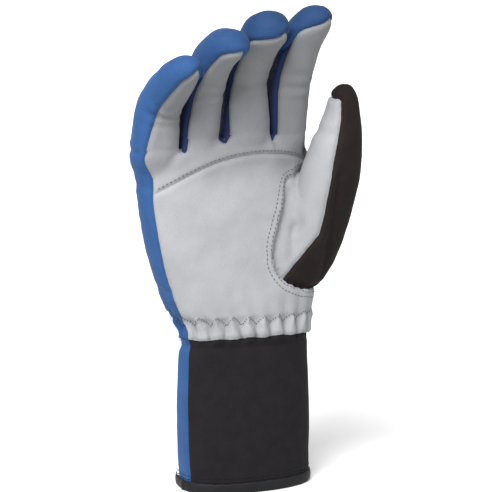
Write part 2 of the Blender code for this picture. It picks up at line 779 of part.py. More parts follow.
def make_thumb():
    thumb = thumb_tube()
    s_base, s_tip = at_height(thumb, THUMB_BASE_Z), at_height(thumb, THUMB_TIP_Z)
    rounds = 24
    total = thumb.s[-1]
    base_cut = 15.5 * math.tan(math.radians(THUMB_BASE_FLEX + 4) / 2) + JOINT_GAP
    edges = (math.pi / 2 - PAD_HALF, math.pi / 2 + PAD_HALF)

    # Root of the thumb, from the palm opening up to the base bend, hollowed by the hand's inside.
    low = at_height(thumb, 124.5)
    verts, faces = tube_shell(thumb.point, lambda q: low, lambda q: s_base - base_cut, 5, rounds)
    root = new_object("root", verts, faces)
    inside = plug("inside", ring_rows(hand_point, lambda q: 90.0, lambda q: 216.0, 12, 56, -0.8))
    stations = list(np.linspace(low - 2.0, s_base, 6))
    tools = [inside] + [lengthwise_slit(thumb.point, stations, q) for q in edges]
    cut(root, tools)
    drop(tools)
    parts = sorted(loose_parts(root), key=lambda p: -len(p[1]))[:2]
    drop([root])
    mid = (low + s_base) / 2 + 8.0
    name_nearest(
        parts,
        {
            "thumb_root_front": (thumb.point(mid, math.pi / 2 - 0.9), "suede"),
            "thumb_root_back": (thumb.point(mid, -math.pi / 2), "black"),
        },
    )

    inside_gap = JOINT_GAP + 0.1
    s0, s1 = s_base - base_cut + inside_gap, s_base + base_cut - inside_gap
    verts, faces = tube_shell(thumb.point, lambda q: s0, lambda q: s1, 3, rounds)
    smooth(new_object("thumb_base_crease", verts, faces, "suede"))

    tip_gap = front_gap(thumb, s_tip, THUMB_TIP_FLEX, 4.0)
    verts, faces = tube_shell(
        thumb.point, lambda q: s_base + base_cut, lambda q: s_tip - tip_gap(q), 4, rounds
    )
    prox = new_object("prox", verts, faces)
    stations = list(np.linspace(s_base, s_tip + 3.0, 4))
    tools = [lengthwise_slit(thumb.point, stations, q) for q in edges]
    cut(prox, tools)
    drop(tools)
    parts = loose_parts(prox)
    drop([prox])
    mid = (s_base + s_tip) / 2 + 2.0
    name_nearest(
        parts,
        {
            "thumb_front_lower": (thumb.point(mid, math.pi / 2), "suede"),
            "thumb_back_lower": (thumb.point(mid, -math.pi / 2), "black"),
        },
    )

    phis = [2 * math.pi * k / rounds for k in range(rounds)]
    s_dome = total - TIP_ROUND - 1.0
    outer, inner = [], []
    for t in (0.0, 0.33, 0.66, 1.0):
        ring = [s_tip + tip_gap(q) + (s_dome - s_tip - tip_gap(q)) * t for q in phis]
        outer.append([thumb.point(s, q) for s, q in zip(ring, phis)])
        inner.append([thumb.point(s, q, WALL) for s, q in zip(ring, phis)])
    for k in range(1, 5):
        t = math.sin(math.pi / 2 * k / 4.2)
        outer.append([thumb.point(s_dome + (total - s_dome) * t, q) for q in phis])
        frame = thumb.frame(s_dome + (total - WALL - s_dome) * t)
        ring = []
        for q in phis:
            ca, sa = superellipse(q, SKIN_N)
            wide = max(frame[4][0] * inner_scale(t) - WALL, 0.3)
            deep = max(frame[4][1] * inner_scale(t) - WALL, 0.3)
            ring.append(frame[0] + frame[2] * wide * ca + frame[3] * deep * sa)
        inner.append(ring)
    verts, faces = shell(outer, inner, tip=True)
    dist = new_object("dist", verts, faces)
    s_fold = total - TIP_FOLD
    stations = list(np.linspace(s_tip - 3.0, s_fold, 5))
    tools = [lengthwise_slit(thumb.point, stations, q) for q in edges]
    tools.append(fold_slit(thumb, s_fold, edges[0] - 0.06, edges[1] + 0.06))
    cut(dist, tools)
    drop(tools)
    parts = loose_parts(dist)
    drop([dist])
    mid = (s_tip + s_dome) / 2 + 2.0
    name_nearest(
        parts,
        {
            "thumb_front_upper": (thumb.point(mid, math.pi / 2), "suede"),
            "thumb_back_upper": (thumb.point(mid, -math.pi / 2), "black"),
        },
    )
    crease("thumb_knuckle_crease", thumb, s_tip, tip_gap, tip_gap)
    return thumb


def main():
    clear_scene()
    make_cuff()
    make_wrist()
    thumb = make_thumb()
    make_hand(thumb)
    make_stitches(thumb)
    for name in FINGERS:
        make_finger(name)


main()
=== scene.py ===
"""Visual model of a right-hand sailing glove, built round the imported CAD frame.

One continuous fabric skin is made from the hand, finger and thumb tubes, wrinkled, cut along the
glove's seams into panels, and each panel becomes a thick piece of cloth with turned-in edges.
Lengths inside the script are millimetres; meshes are written in metres.
"""

import json
import math

import bpy
import numpy as np
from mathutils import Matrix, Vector, noise
from mathutils.bvhtree import BVHTree
from mathutils.kdtree import KDTree

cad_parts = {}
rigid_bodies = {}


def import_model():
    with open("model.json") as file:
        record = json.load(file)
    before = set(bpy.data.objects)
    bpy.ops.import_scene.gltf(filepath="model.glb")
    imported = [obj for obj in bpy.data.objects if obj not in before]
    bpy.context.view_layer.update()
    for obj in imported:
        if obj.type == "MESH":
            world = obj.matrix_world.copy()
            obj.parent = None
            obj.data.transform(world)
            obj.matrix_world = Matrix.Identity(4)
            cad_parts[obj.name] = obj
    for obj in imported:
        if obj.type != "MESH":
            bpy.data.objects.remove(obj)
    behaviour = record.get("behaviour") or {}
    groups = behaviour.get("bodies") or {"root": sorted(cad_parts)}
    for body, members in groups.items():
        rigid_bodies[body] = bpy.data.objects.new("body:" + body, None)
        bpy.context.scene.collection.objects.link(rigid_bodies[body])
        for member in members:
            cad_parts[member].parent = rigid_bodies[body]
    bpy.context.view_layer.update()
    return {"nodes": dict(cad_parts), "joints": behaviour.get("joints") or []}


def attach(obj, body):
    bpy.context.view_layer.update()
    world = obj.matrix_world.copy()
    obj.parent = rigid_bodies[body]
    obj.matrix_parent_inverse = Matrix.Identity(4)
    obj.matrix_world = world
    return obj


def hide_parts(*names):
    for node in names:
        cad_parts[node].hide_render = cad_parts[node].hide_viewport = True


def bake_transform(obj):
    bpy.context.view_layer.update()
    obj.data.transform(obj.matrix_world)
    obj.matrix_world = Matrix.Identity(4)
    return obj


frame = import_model()

MM = 0.001
scene_objects = bpy.context.scene.collection.objects
JOINT = {j["name"]: np.array(j["pos_m"]) * 1000 for j in frame["joints"]}
ORIGIN = JOINT["wrist_bend"] - np.array((0.8, 0.0, 95.0))

VOXEL = 1.5
CLOTH = 1.1  # thickness of a panel
TEETH = 22  # of the zigzag row round the wrist
ZIG_LOW, ZIG_HIGH = 101.0, 106.2
WRIST_LOW, WRIST_HIGH = 86.5, 106.0  # the stretch that bends between cuff and hand
WRIST_HALF = (41.5, 21.8)
HAND_N = 2.5  # exponents of the superellipses of hand and stalls
SKIN_N = 2.35
FINGER_Y = -1.0  # of the finger centrelines in the spread layout
TIP_ROUND = 13.0

# Height, centre x, half width, centre y and half depth of cuff and hand.
HAND_STATIONS = np.array(
    (
        (0.0, 0.8, 40.7, 0.0, 26.0),
        (40.0, 0.2, 41.8, 0.0, 25.0),
        (80.0, 0.3, 41.0, 0.0, 22.5),
        (91.0, 0.8, 40.8, 0.0, 22.0),
        (99.0, 0.6, 41.5, 0.0, 21.8),
        (107.0, -1.2, 45.2, 0.0, 22.2),
        (125.0, -4.0, 50.0, 0.0, 21.5),
        (150.0, -7.5, 53.0, 0.0, 20.5),
        (175.0, -10.5, 54.5, 0.0, 18.5),
        (200.0, -12.0, 54.5, -0.5, 15.0),
        (216.0, -12.0, 54.5, -1.0, 13.0),
    )
)

# How each finger stall runs. Tilts (towards the palm) and leans (towards the thumb) are in degrees, at
# the base, past the knuckle and at the tip; half widths are at the base, at the knuckle and at the tip.
FINGERS = {
    "little": {
        "base": (-55.0, 0.0, 203.0), "to_knuckle": 28.0, "to_tip": 43.0,
        "tilt": (11, 52, 53), "lean": (2.3, 11.6, 9.5),
        "half": (13.2, 12.2, 8.8), "depth": 0.94, "round": 14.0,
        "spread": -8.0, "bend_z": 205.5, "side_end": 56.0,
        "sew_line": ((0, 128), (10, 120), (20, 111), (37, 102), (52, 98), (72, 90)),
    },
    "ring": {
        "base": (-28.8, -2.0, 208.5), "to_knuckle": 32.0, "to_tip": 49.0,
        "tilt": (8, 39, 72), "lean": (2.4, 2.4, 25),
        "half": (10.9, 11.3, 10.0), "depth": 1.0, "round": 16.5,
        "spread": -4.0, "bend_z": 211.5, "side_end": 50.0,
        "sew_line": ((0, 146), (11, 145), (21, 140), (34, 131), (48, 120), (64, 96), (82, 80)),
    },
    "middle": {
        "base": (0.9, 0.0, 212.0), "to_knuckle": 34.0, "to_tip": 49.5,
        "tilt": (7, 33, 68), "lean": (-2, 4.5, 5),
        "half": (13.8, 11.6, 11.6), "depth": 0.94, "round": 15.0,
        "spread": 2.0, "bend_z": 213.5, "side_end": 74.0,
        "sew_line": ((0, 150), (10, 155), (20, 163), (30, 158), (50, 146), (70, 140), (84, 118)),
    },
    "index": {
        "base": (27.4, -1.5, 210.0), "to_knuckle": 34.0, "to_tip": 52.5,
        "tilt": (9, 27, 48), "lean": (-2.5, 5.5, 12),
        "half": (10.9, 12.0, 10.3), "depth": 0.96, "round": 16.5,
        "spread": 8.0, "bend_z": 213.0, "side_end": 66.0,
        "sew_line": ((0, 140), (60, 140), (72, 136), (87, 110)),
    },
}
NAMES = list(FINGERS)
WEBS = (206.5, 212.5, 213.5)
KEYHOLE = ((3.8, 5.5), (6.3, 6.0), (4.4, 7.0))
RADIAL_LINE = (20.0, 14.0, 14.0, 8.0)

# Thumb stall: height, centre x and y, half size across it and half size towards the fingers.
THUMB_LINE = np.array(
    (
        (116.0, 33.0, -2.0, 6.0, 8.0),
        (124.0, 35.5, -5.0, 10.0, 13.0),
        (136.0, 39.1, -7.5, 13.0, 16.5),
        (148.0, 42.2, -9.5, 14.6, 18.0),
        (158.0, 44.6, -12.0, 15.1, 18.0),
        (168.0, 46.7, -14.0, 15.3, 18.0),
        (178.0, 48.3, -15.5, 15.4, 18.0),
        (188.0, 50.2, -17.0, 15.6, 18.0),
        (197.0, 52.0, -18.0, 15.0, 17.0),
        (206.0, 53.6, -19.0, 13.8, 15.2),
        (214.0, 54.8, -19.8, 12.2, 13.2),
        (222.0, 55.6, -20.5, 10.6, 11.2),
        (232.0, 56.2, -21.2, 9.0, 9.3),
        (242.5, 56.8, -22.0, 8.0, 8.0),
    )
)
# Seam of the thumb opening on the palm: height and place across the hand.
THUMB_SEAM = np.array(
    (
        (116.0, 52.0),
        (118.2, 41.0),
        (120.4, 31.0),
        (124.2, 22.8),
        (128.2, 17.8),
        (133.9, 13.9),
        (141.7, 12.4),
        (150.6, 13.8),
        (165.1, 18.7),
        (180.6, 24.8),
        (192.0, 31.0),
    )
)
# Padding added to every finger's half sizes, slant of the finger ends, widening of the spread layout.
FULLER = 0.7
TIP_SKEW = 4.5
SPREAD = 8.0
THUMB_FACE = math.radians(196.0)
THUMB_APART = np.array((12.0, -12.0, 0.0))


# ---------------------------------------------------------------- small maths


def ramp(x, lo, hi):
    """Smooth step from 0 at lo to 1 at hi."""
    t = np.clip((np.asarray(x, float) - lo) / (hi - lo), 0.0, 1.0)
    return t * t * (3 - 2 * t)


def hermite(table, keys):
    """Smooth interpolation of every column of a table whose column 0 rises."""
    keys = np.asarray(keys, float)
    x = table[:, 0]
    slopes = np.gradient(table, x, axis=0)
    i = np.clip(np.searchsorted(x, keys) - 1, 0, len(x) - 2)
    h = (x[i + 1] - x[i])[..., None]
    t = np.clip((keys - x[i])[..., None] / h, 0.0, 1.0)
    t2, t3 = t * t, t * t * t
    return (
        (2 * t3 - 3 * t2 + 1) * table[i]
        + (t3 - 2 * t2 + t) * h * slopes[i]
        + (3 * t2 - 2 * t3) * table[i + 1]
        + (t3 - t2) * h * slopes[i + 1]
    )


def oval(phi, n):
    """Unit superellipse: the two shares of its half axes at a bearing."""
    c, s = np.cos(phi), np.sin(phi)
    return np.sign(c) * np.abs(c) ** (2 / n), np.sign(s) * np.abs(s) ** (2 / n)


def oval_angle(dx, dy, n):
    """Bearing on a superellipse of a point given as shares of its half axes."""
    return np.arctan2(
        np.sign(dy) * np.abs(dy) ** (n / 2), np.sign(dx) * np.abs(dx) ** (n / 2)
    )


def from_minus_90(phi):
    """Bearings in degrees, as values from -90 up to 270."""
    return np.where(phi < -90, phi + 360, phi)


def bell(distance, width):
    """1 at no distance, falling off smoothly on both sides."""
    return np.exp(-((distance / width) ** 2))


def norm_rows(v):
    return v / np.maximum(np.linalg.norm(v, axis=1), 1e-9)[:, None]


def ripple(points, scale, seed=0.0):
    """Soft noise, one value from about -1 to 1 for each point."""
    shift = Vector((seed * 7.3, seed * 3.1, seed * 5.7))
    return np.array([noise.noise(Vector(p) / scale + shift) for p in points])


# ------------------------------------------------------------ tubes of the hand


class Finger:
    """A straight tube in the spread-out layout, and the bent centreline it is laid along."""

    def __init__(self, name):
        shape = FINGERS[name]
        self.name = name
        self.base = np.array(shape["base"])
        self.len0, self.total = shape["to_knuckle"], shape["to_knuckle"] + shape["to_tip"]
        self.half = np.array(shape["half"]) + FULLER
        self.depth, self.round = shape["depth"], shape["round"]
        self.spread, self.bend_z = shape["spread"], shape["bend_z"]
        self.sew_line, self.side_end = np.array(shape["sew_line"], float), shape["side_end"]
        self.a = self.half[0]
        s = np.arange(0.0, self.total + 0.5, 0.5)
        steps = (
            ramp(s, -4.0, 9.0),
            ramp(s, self.len0 - 13.0, self.len0 + 13.0),
            ramp(s, self.len0 + 8.0, self.total - 2.0),
        )

        def along(values):
            first, second, third = np.radians(values)
            return first * steps[0] + (second - first) * steps[1] + (third - second) * steps[2]

        tilt, lean = along(shape["tilt"]), along(shape["lean"])
        d = norm_rows(np.stack([np.tan(lean), -np.sin(tilt), np.cos(tilt)], 1))
        c = self.base + np.concatenate([np.zeros((1, 3)), np.cumsum(d[:-1] * 0.5, axis=0)])
        f = np.array((0.0, -1.0, 0.0)) + d * d[:, 1:2]
        self.s, self.c, self.d, self.f = s, c, d, norm_rows(f)
        self.u = np.cross(self.d, self.f)

    def sample(self, rows, s):
        """Rows of the centreline's table at arc lengths s."""
        return np.stack([np.interp(s, self.s, rows[:, k]) for k in range(3)], 1)

    def halves(self, s):
        """Half width and half depth of the stall at arc lengths s, with its domed tip."""
        first, second, third = self.half
        width = first + (second - first) * ramp(s, 4.0, self.len0)
        width = width + (third - second) * ramp(s, self.len0, self.total)
        left = np.clip((self.total - s) / self.round, 0, 1)
        dome = np.maximum(1.0 - (1.0 - left) ** 2.3, 0.0) ** (1 / 2.3)
        return width * dome, width * self.depth * dome

    def place(self, across, front, s):
        """Points of the bent stall, from their places in the straight one."""
        inside = np.maximum(s, 0.0)
        spot = self.sample(self.c, inside) + np.stack(
            [np.zeros_like(s), np.zeros_like(s), np.minimum(s, 0.0)], 1
        )
        return (
            spot
            + self.sample(self.u, inside) * across[:, None]
            + self.sample(self.f, inside) * front[:, None]
        )


fingers = [Finger(n) for n in NAMES]  # little to index
centre_x = np.array([f.base[0] + f.spread for f in fingers])
base_spots = np.array([f.base for f in fingers])
BEND_Z = np.array([f.bend_z for f in fingers])


class Thumb:
    """The thumb's tube, and a copy of its centreline set apart from the hand for the spread layout."""

    def __init__(self):
        z = np.arange(THUMB_LINE[0, 0], THUMB_LINE[-1, 0] + 0.01, 0.5)
        rows = hermite(THUMB_LINE, z)
        self.z = z
        self.c = np.stack([rows[:, 1], rows[:, 2], z], 1)
        self.apart = ramp(z, 172.0, 206.0)[:, None] * THUMB_APART
        self.line = self.c + self.apart
        left = np.clip((z[-1] - z) / (TIP_ROUND + 1.0), 0, 1)
        dome = np.maximum(1.0 - (1.0 - left) ** 2.3, 0.0) ** (1 / 2.3)
        start = np.clip((z - z[0]) / 9.0, 0, 1)
        root = np.maximum(1.0 - (1.0 - start) ** 2.2, 0.0) ** (1 / 2.2)
        self.a = rows[:, 3] * dome * np.maximum(root, 0.02)
        self.b = rows[:, 4] * dome * np.maximum(root, 0.02)
        self.f, self.u, self.d = self.axes(self.c)
        self.fs, self.us, self.ds = self.axes(self.line)

    @staticmethod
    def axes(line):
        """Directions towards the pad, across and along, at every point of a centreline."""
        d = norm_rows(np.gradient(line, axis=0))
        face = np.array((math.cos(THUMB_FACE), math.sin(THUMB_FACE), 0.0))
        f = norm_rows(face - d * (d @ face)[:, None])
        return f, np.cross(d, f), d

    def nearest(self, points):
        """For points in the spread layout: sample index, shares of the half axes, metric."""
        best = np.zeros(len(points), int)
        for lo in range(0, len(points), 4000):
            block = points[lo : lo + 4000]
            gap = np.linalg.norm(block[:, None, :] - self.line[None, ::2], axis=2)
            best[lo : lo + 4000] = gap.argmin(1) * 2
        off = points - self.line[best]
        dx = (off * self.us[best]).sum(1) / self.a[best].clip(1.0)
        df = (off * self.fs[best]).sum(1) / self.b[best].clip(1.0)
        metric = (np.abs(dx) ** SKIN_N + np.abs(df) ** SKIN_N) ** (1 / SKIN_N)
        end = np.maximum((off * self.ds[best]).sum(1), 0.0) * (best >= len(self.z) - 3)
        return best, dx, df, metric + end / 6.0


thumb = Thumb()


def widened(z):
    """How much wider the hand is in the spread layout."""
    return SPREAD * ramp(z, 165.0, 203.0)


def palm_bend(z):
    """How far the top of the palm and the finger roots lean forward."""
    return 4.2 * ramp(z, 186.0, 214.0)


def web_height(x):
    """Top edge of the hand between the fingers, by place across the spread layout."""
    mids = (centre_x[:-1] + centre_x[1:]) / 2
    return np.interp(
        x,
        (centre_x[0] - 14, mids[0], mids[1], mids[2], centre_x[3] + 14),
        (198.0, WEBS[0], WEBS[1], WEBS[2], 204.0),
    )


def tube_mesh(rings, name):
    """Closed mesh object, in mm, from rings of points."""
    n = len(rings[0])
    verts = np.concatenate(rings)
    faces = []
    for r in range(len(rings) - 1):
        for k in range(n):
            a, b = r * n + k, r * n + (k + 1) % n
            faces.append((a, b, b + n, a + n))
    faces.append(tuple(range(n))[::-1])
    faces.append(tuple((len(rings) - 1) * n + k for k in range(n)))
    mesh = bpy.data.meshes.new(name)
    mesh.from_pydata(verts.tolist(), [], faces)
    return mesh


def hand_rings():
    """Cuff and hand, closed over between the fingers."""
    phi = np.linspace(0, 2 * math.pi, 120, endpoint=False)
    c, s = oval(phi, HAND_N)
    rings = []
    for z in np.concatenate([np.arange(-8.0, 190.0, 3.0), np.linspace(190, 196, 4)]):
        _, cx, a, cy, b = hermite(HAND_STATIONS, np.array([max(z, 0.0)]))[0]
        a += float(widened(z))
        rings.append(np.stack([cx + a * c, cy - b * s, np.full_like(c, z)], 1))
    _, cx, a, cy, b = hermite(HAND_STATIONS, np.array([199.0]))[0]
    a += float(widened(203.0))
    for t in np.linspace(0.08, 0.98, 9):
        round_off = math.cos(t * math.pi / 2) ** 0.7
        x = cx + (a - 5.0 * (1 - round_off)) * c
        top = web_height(x)
        z = 197.0 + (top - 197.0) * math.sin(t * math.pi / 2)
        rings.append(np.stack([x, cy - b * round_off * s, z], 1))
    return rings


def finger_rings(finger):
    """The stall, with a root that runs down inside the hand without standing out of it."""
    phi = np.linspace(0, 2 * math.pi, 48, endpoint=False)
    c, s = oval(phi, SKIN_N)
    rings = []
    lows = np.arange(-24.0, finger.total - finger.round, 2.5)
    tips = finger.total - finger.round * (1 - np.sin(np.linspace(0, 0.49, 10) * math.pi))
    for k in np.concatenate([lows, tips]):
        a, b = finger.halves(np.array([k]))
        z0 = finger.base[2] + k
        x0 = finger.base[0] + finger.spread * float(ramp(z0, 165.0, 203.0))
        shrink = 1.0 - 0.35 * float(ramp(-k, 2.0, 20.0))
        slant = TIP_SKEW * float(ramp(k, finger.total - 26.0, finger.total - 6.0))
        z = z0 + slant * c * (a[0] / finger.a)
        ring = [x0 + a[0] * shrink * c, FINGER_Y - b[0] * shrink * s, z]
        rings.append(np.stack(ring, 1))
    return rings


def thumb_rings():
    phi = np.linspace(0, 2 * math.pi, 56, endpoint=False)
    c, s = oval(phi, SKIN_N)
    keep = list(range(2, len(thumb.z) - 30, 4)) + list(range(len(thumb.z) - 30, len(thumb.z) - 1))
    return [
        thumb.line[i]
        + thumb.us[i] * (thumb.a[i] * c)[:, None]
        + thumb.fs[i] * (thumb.b[i] * s)[:, None]
        for i in keep
    ]


def merged_skin():
    """All tubes joined into one closed surface in the spread layout: points and triangles."""
    meshes = [tube_mesh(hand_rings(), "hand_tube")]
    for finger in fingers:
        meshes.append(tube_mesh(finger_rings(finger), "finger_tube"))
    meshes.append(tube_mesh(thumb_rings(), "thumb_tube"))
    verts, faces, at = [], [], 0
    for mesh in meshes:
        co = np.empty(len(mesh.vertices) * 3)
        mesh.vertices.foreach_get("co", co)
        verts.append(co.reshape(-1, 3))
        faces += [tuple(at + v for v in p.vertices) for p in mesh.polygons]
        at += len(mesh.vertices)
        bpy.data.meshes.remove(mesh)
    mesh = bpy.data.meshes.new("skin")
    mesh.from_pydata(np.concatenate(verts).tolist(), [], faces)
    obj = bpy.data.objects.new("skin", mesh)
    scene_objects.link(obj)
    mod = obj.modifiers.new("remesh", "REMESH")
    mod.mode = "VOXEL"
    mod.voxel_size = VOXEL
    graph = bpy.context.evaluated_depsgraph_get()
    done = obj.evaluated_get(graph).to_mesh()
    done.calc_loop_triangles()
    co = np.empty(len(done.vertices) * 3)
    done.vertices.foreach_get("co", co)
    tri = np.empty(len(done.loop_triangles) * 3, np.int32)
    done.loop_triangles.foreach_get("vertices", tri)
    bpy.data.objects.remove(obj)
    return co.reshape(-1, 3), tri.reshape(-1, 3).astype(np.int64)


def edges_of(tris):
    e = np.concatenate([tris[:, [0, 1]], tris[:, [1, 2]], tris[:, [2, 0]]])
    return np.unique(np.sort(e, axis=1), axis=0)


def relax(points, edges, weight, rounds):
    """Laplacian smoothing, each point by its own weight."""
    n = len(points)
    degree = np.bincount(edges.ravel(), minlength=n).clip(1)[:, None]
    for _ in range(rounds):
        total = np.zeros_like(points)
        for k in range(3):
            total[:, k] = np.bincount(
                edges[:, 0], points[edges[:, 1], k], n
            ) + np.bincount(edges[:, 1], points[edges[:, 0], k], n)
        points = points + (total / degree - points) * weight[:, None]
    return points


# ------------------------------------------------------- where a skin point is


def survey(flat):
    """What every point of the spread layout belongs to, and where on it."""
    x, y, z = flat.T
    near = np.abs(x[:, None] - centre_x[None]).argmin(1)
    info = {"finger": near}
    base = base_spots[near, 2]
    info["s"] = z - base
    info["dx"] = x - centre_x[near]
    info["df"] = FINGER_Y - y
    a = np.zeros(len(x))
    b = np.zeros(len(x))
    info["sew_s"] = info["s"].copy()
    for k, finger in enumerate(fingers):
        pick = near == k
        s = info["s"][pick]
        slant = TIP_SKEW * ramp(s, finger.total - 26.0, finger.total - 6.0)
        s = s - slant * np.clip(info["dx"][pick] / finger.a, -1, 1)
        info["sew_s"][pick] = s
        a[pick], b[pick] = finger.halves(s)
    info["phi"] = oval_angle(info["dx"] / a.clip(2), info["df"] / b.clip(2), SKIN_N)
    rows = hermite(HAND_STATIONS, np.clip(z, 0, 216))
    wide = rows[:, 2] + widened(z)
    hx, hf = (x - rows[:, 1]) / wide, (rows[:, 3] - y) / rows[:, 4]
    info["x"] = x
    info["hand_phi"] = oval_angle(hx, hf, HAND_N)
    hand_metric = (np.abs(hx) ** HAND_N + np.abs(hf) ** HAND_N) ** (1 / HAND_N)
    index, tx, tf, metric = thumb.nearest(flat)
    info["thumb_i"] = index
    info["thumb_z"] = thumb.z[index]
    info["thumb_phi"] = oval_angle(tx, tf, SKIN_N)
    tube = hand_metric - np.where(z < 252, metric, 9.0)
    tube = np.where(z < THUMB_LINE[0, 0] - 2.0, -1.0, tube)
    above = z > BEND_Z[near]
    tube = np.where(above & (metric > 1.25), -1.0, tube)
    info["on_tube"] = tube
    hand_phi = np.degrees(info["hand_phi"])
    palm_side = ramp(hand_phi, 8.0, 22.0) * ramp(-hand_phi, -178.0, -160.0)
    line = np.interp(z, THUMB_SEAM[:, 0], THUMB_SEAM[:, 1])
    drawn = np.minimum(x - line, (z - 117.5) * 1.4) / 9.0
    drawn = np.where(metric < 1.12, np.maximum(drawn, tube), drawn)
    low = 1 - ramp(z, 183.0, 190.0)
    info["is_thumb"] = tube * (1 - palm_side * low) + drawn * palm_side * low
    apart = (above & (metric > 1.25)) | (z < THUMB_LINE[0, 0] - 2.0)
    info["is_thumb"] = np.where(apart, -1.0, info["is_thumb"])
    info["z"] = z
    return info


def gap_share(j):
    """How much the gap between fingers j and j + 1 shrinks when the spread layout closes up."""
    if not 0 <= j < 3:
        return 1.0
    first, second = fingers[j], fingers[j + 1]
    real = second.base[0] - first.base[0] - first.a - second.a
    return real / (real + second.spread - first.spread)


def closed_up(flat, info):
    """Moves points of the spread layout to where they are on the glove."""
    x, y, z = flat.T
    near, s = info["finger"], info["s"]
    out = flat.copy()
    for k, finger in enumerate(fingers):
        pick = near == k
        dx = info["dx"][pick]
        over = np.abs(dx) - finger.a
        squeeze = np.where(dx < 0, gap_share(k - 1), gap_share(k))
        pressed = np.where(over > 0, np.sign(dx) * (finger.a + over * squeeze), dx)
        world = finger.place(pressed, info["df"][pick], s[pick])
        share = ramp(z[pick], 165.0, 203.0)
        stay = np.stack([x[pick], y[pick], z[pick]], 1)
        moved = stay.copy()
        even = np.interp(x[pick], centre_x, base_spots[:, 0])
        even += np.minimum(x[pick] - centre_x[0], 0.0) + np.maximum(x[pick] - centre_x[3], 0.0)
        at_root = ramp(z[pick], 199.0, 209.0)
        closer = even * (1 - at_root) + (finger.base[0] + pressed) * at_root
        moved[:, 0] += share * (closer - x[pick])
        base_y = np.interp(x[pick], centre_x, base_spots[:, 1])
        base_z = np.interp(x[pick], centre_x, base_spots[:, 2])
        to_root = ramp(z[pick], 180.0, base_z)
        world[:, 1] += (base_y - finger.base[1]) * (1 - ramp(s[pick], 0.0, 14.0))
        moved[:, 1] += to_root * (base_y - FINGER_Y) - palm_bend(z[pick])
        world[:, 1] -= palm_bend(finger.base[2])
        world[:, 0] -= 1.2
        moved[:, 0] -= 1.2 * to_root
        out[pick] = np.where((s[pick] > 0)[:, None], world, moved)
    hollow = np.exp(-(((x - 36) / 15) ** 2) - ((z - 189) / 17) ** 2) * ramp(-y, 0.0, 9.0)
    out[:, 1] += 4.0 * hollow
    on_thumb = ramp(info["on_tube"], -0.16, 0.06)[:, None]
    i = info["thumb_i"]
    off = flat - thumb.line[i]
    thumb_spot = thumb.c[i].copy()
    for old, new in ((thumb.us, thumb.u), (thumb.fs, thumb.f), (thumb.ds, thumb.d)):
        thumb_spot += new[i] * (off * old[i]).sum(1)[:, None]
    return out * (1 - on_thumb) + thumb_spot * on_thumb


# ------------------------------------------------------------------- wrinkles


def surface_normals(points, tris):
    """Area-weighted normal of every point."""
    cross = np.cross(
        points[tris[:, 1]] - points[tris[:, 0]], points[tris[:, 2]] - points[tris[:, 0]]
    )
    total = np.zeros_like(points)
    for k in range(3):
        for c in range(3):
            total[:, k] += np.bincount(tris[:, c], cross[:, k], len(points))
    return norm_rows(total)


def fold(distance, width, depth):
    """Rounded valley with a low lip on each side."""
    d = distance / width
    return -depth * np.exp(-d * d) + 0.35 * depth * np.exp(-((np.abs(d) - 1.9) ** 2))


def wrist_turns(phi):
    """Position round the wrist counted in teeth of the zigzag row."""
    return np.interp(phi % (2 * math.pi), WRIST_BEARING, WRIST_COUNT)


def count_wrist():
    """Bearings round the wrist, and the teeth of the zigzag row passed by each."""
    phi = np.linspace(0, 2 * math.pi, 721)
    c, s = oval(phi, HAND_N)
    steps = np.hypot(np.diff(WRIST_HALF[0] * c), np.diff(WRIST_HALF[1] * s))
    return phi, np.concatenate([[0.0], np.cumsum(steps)]) * TEETH / steps.sum()


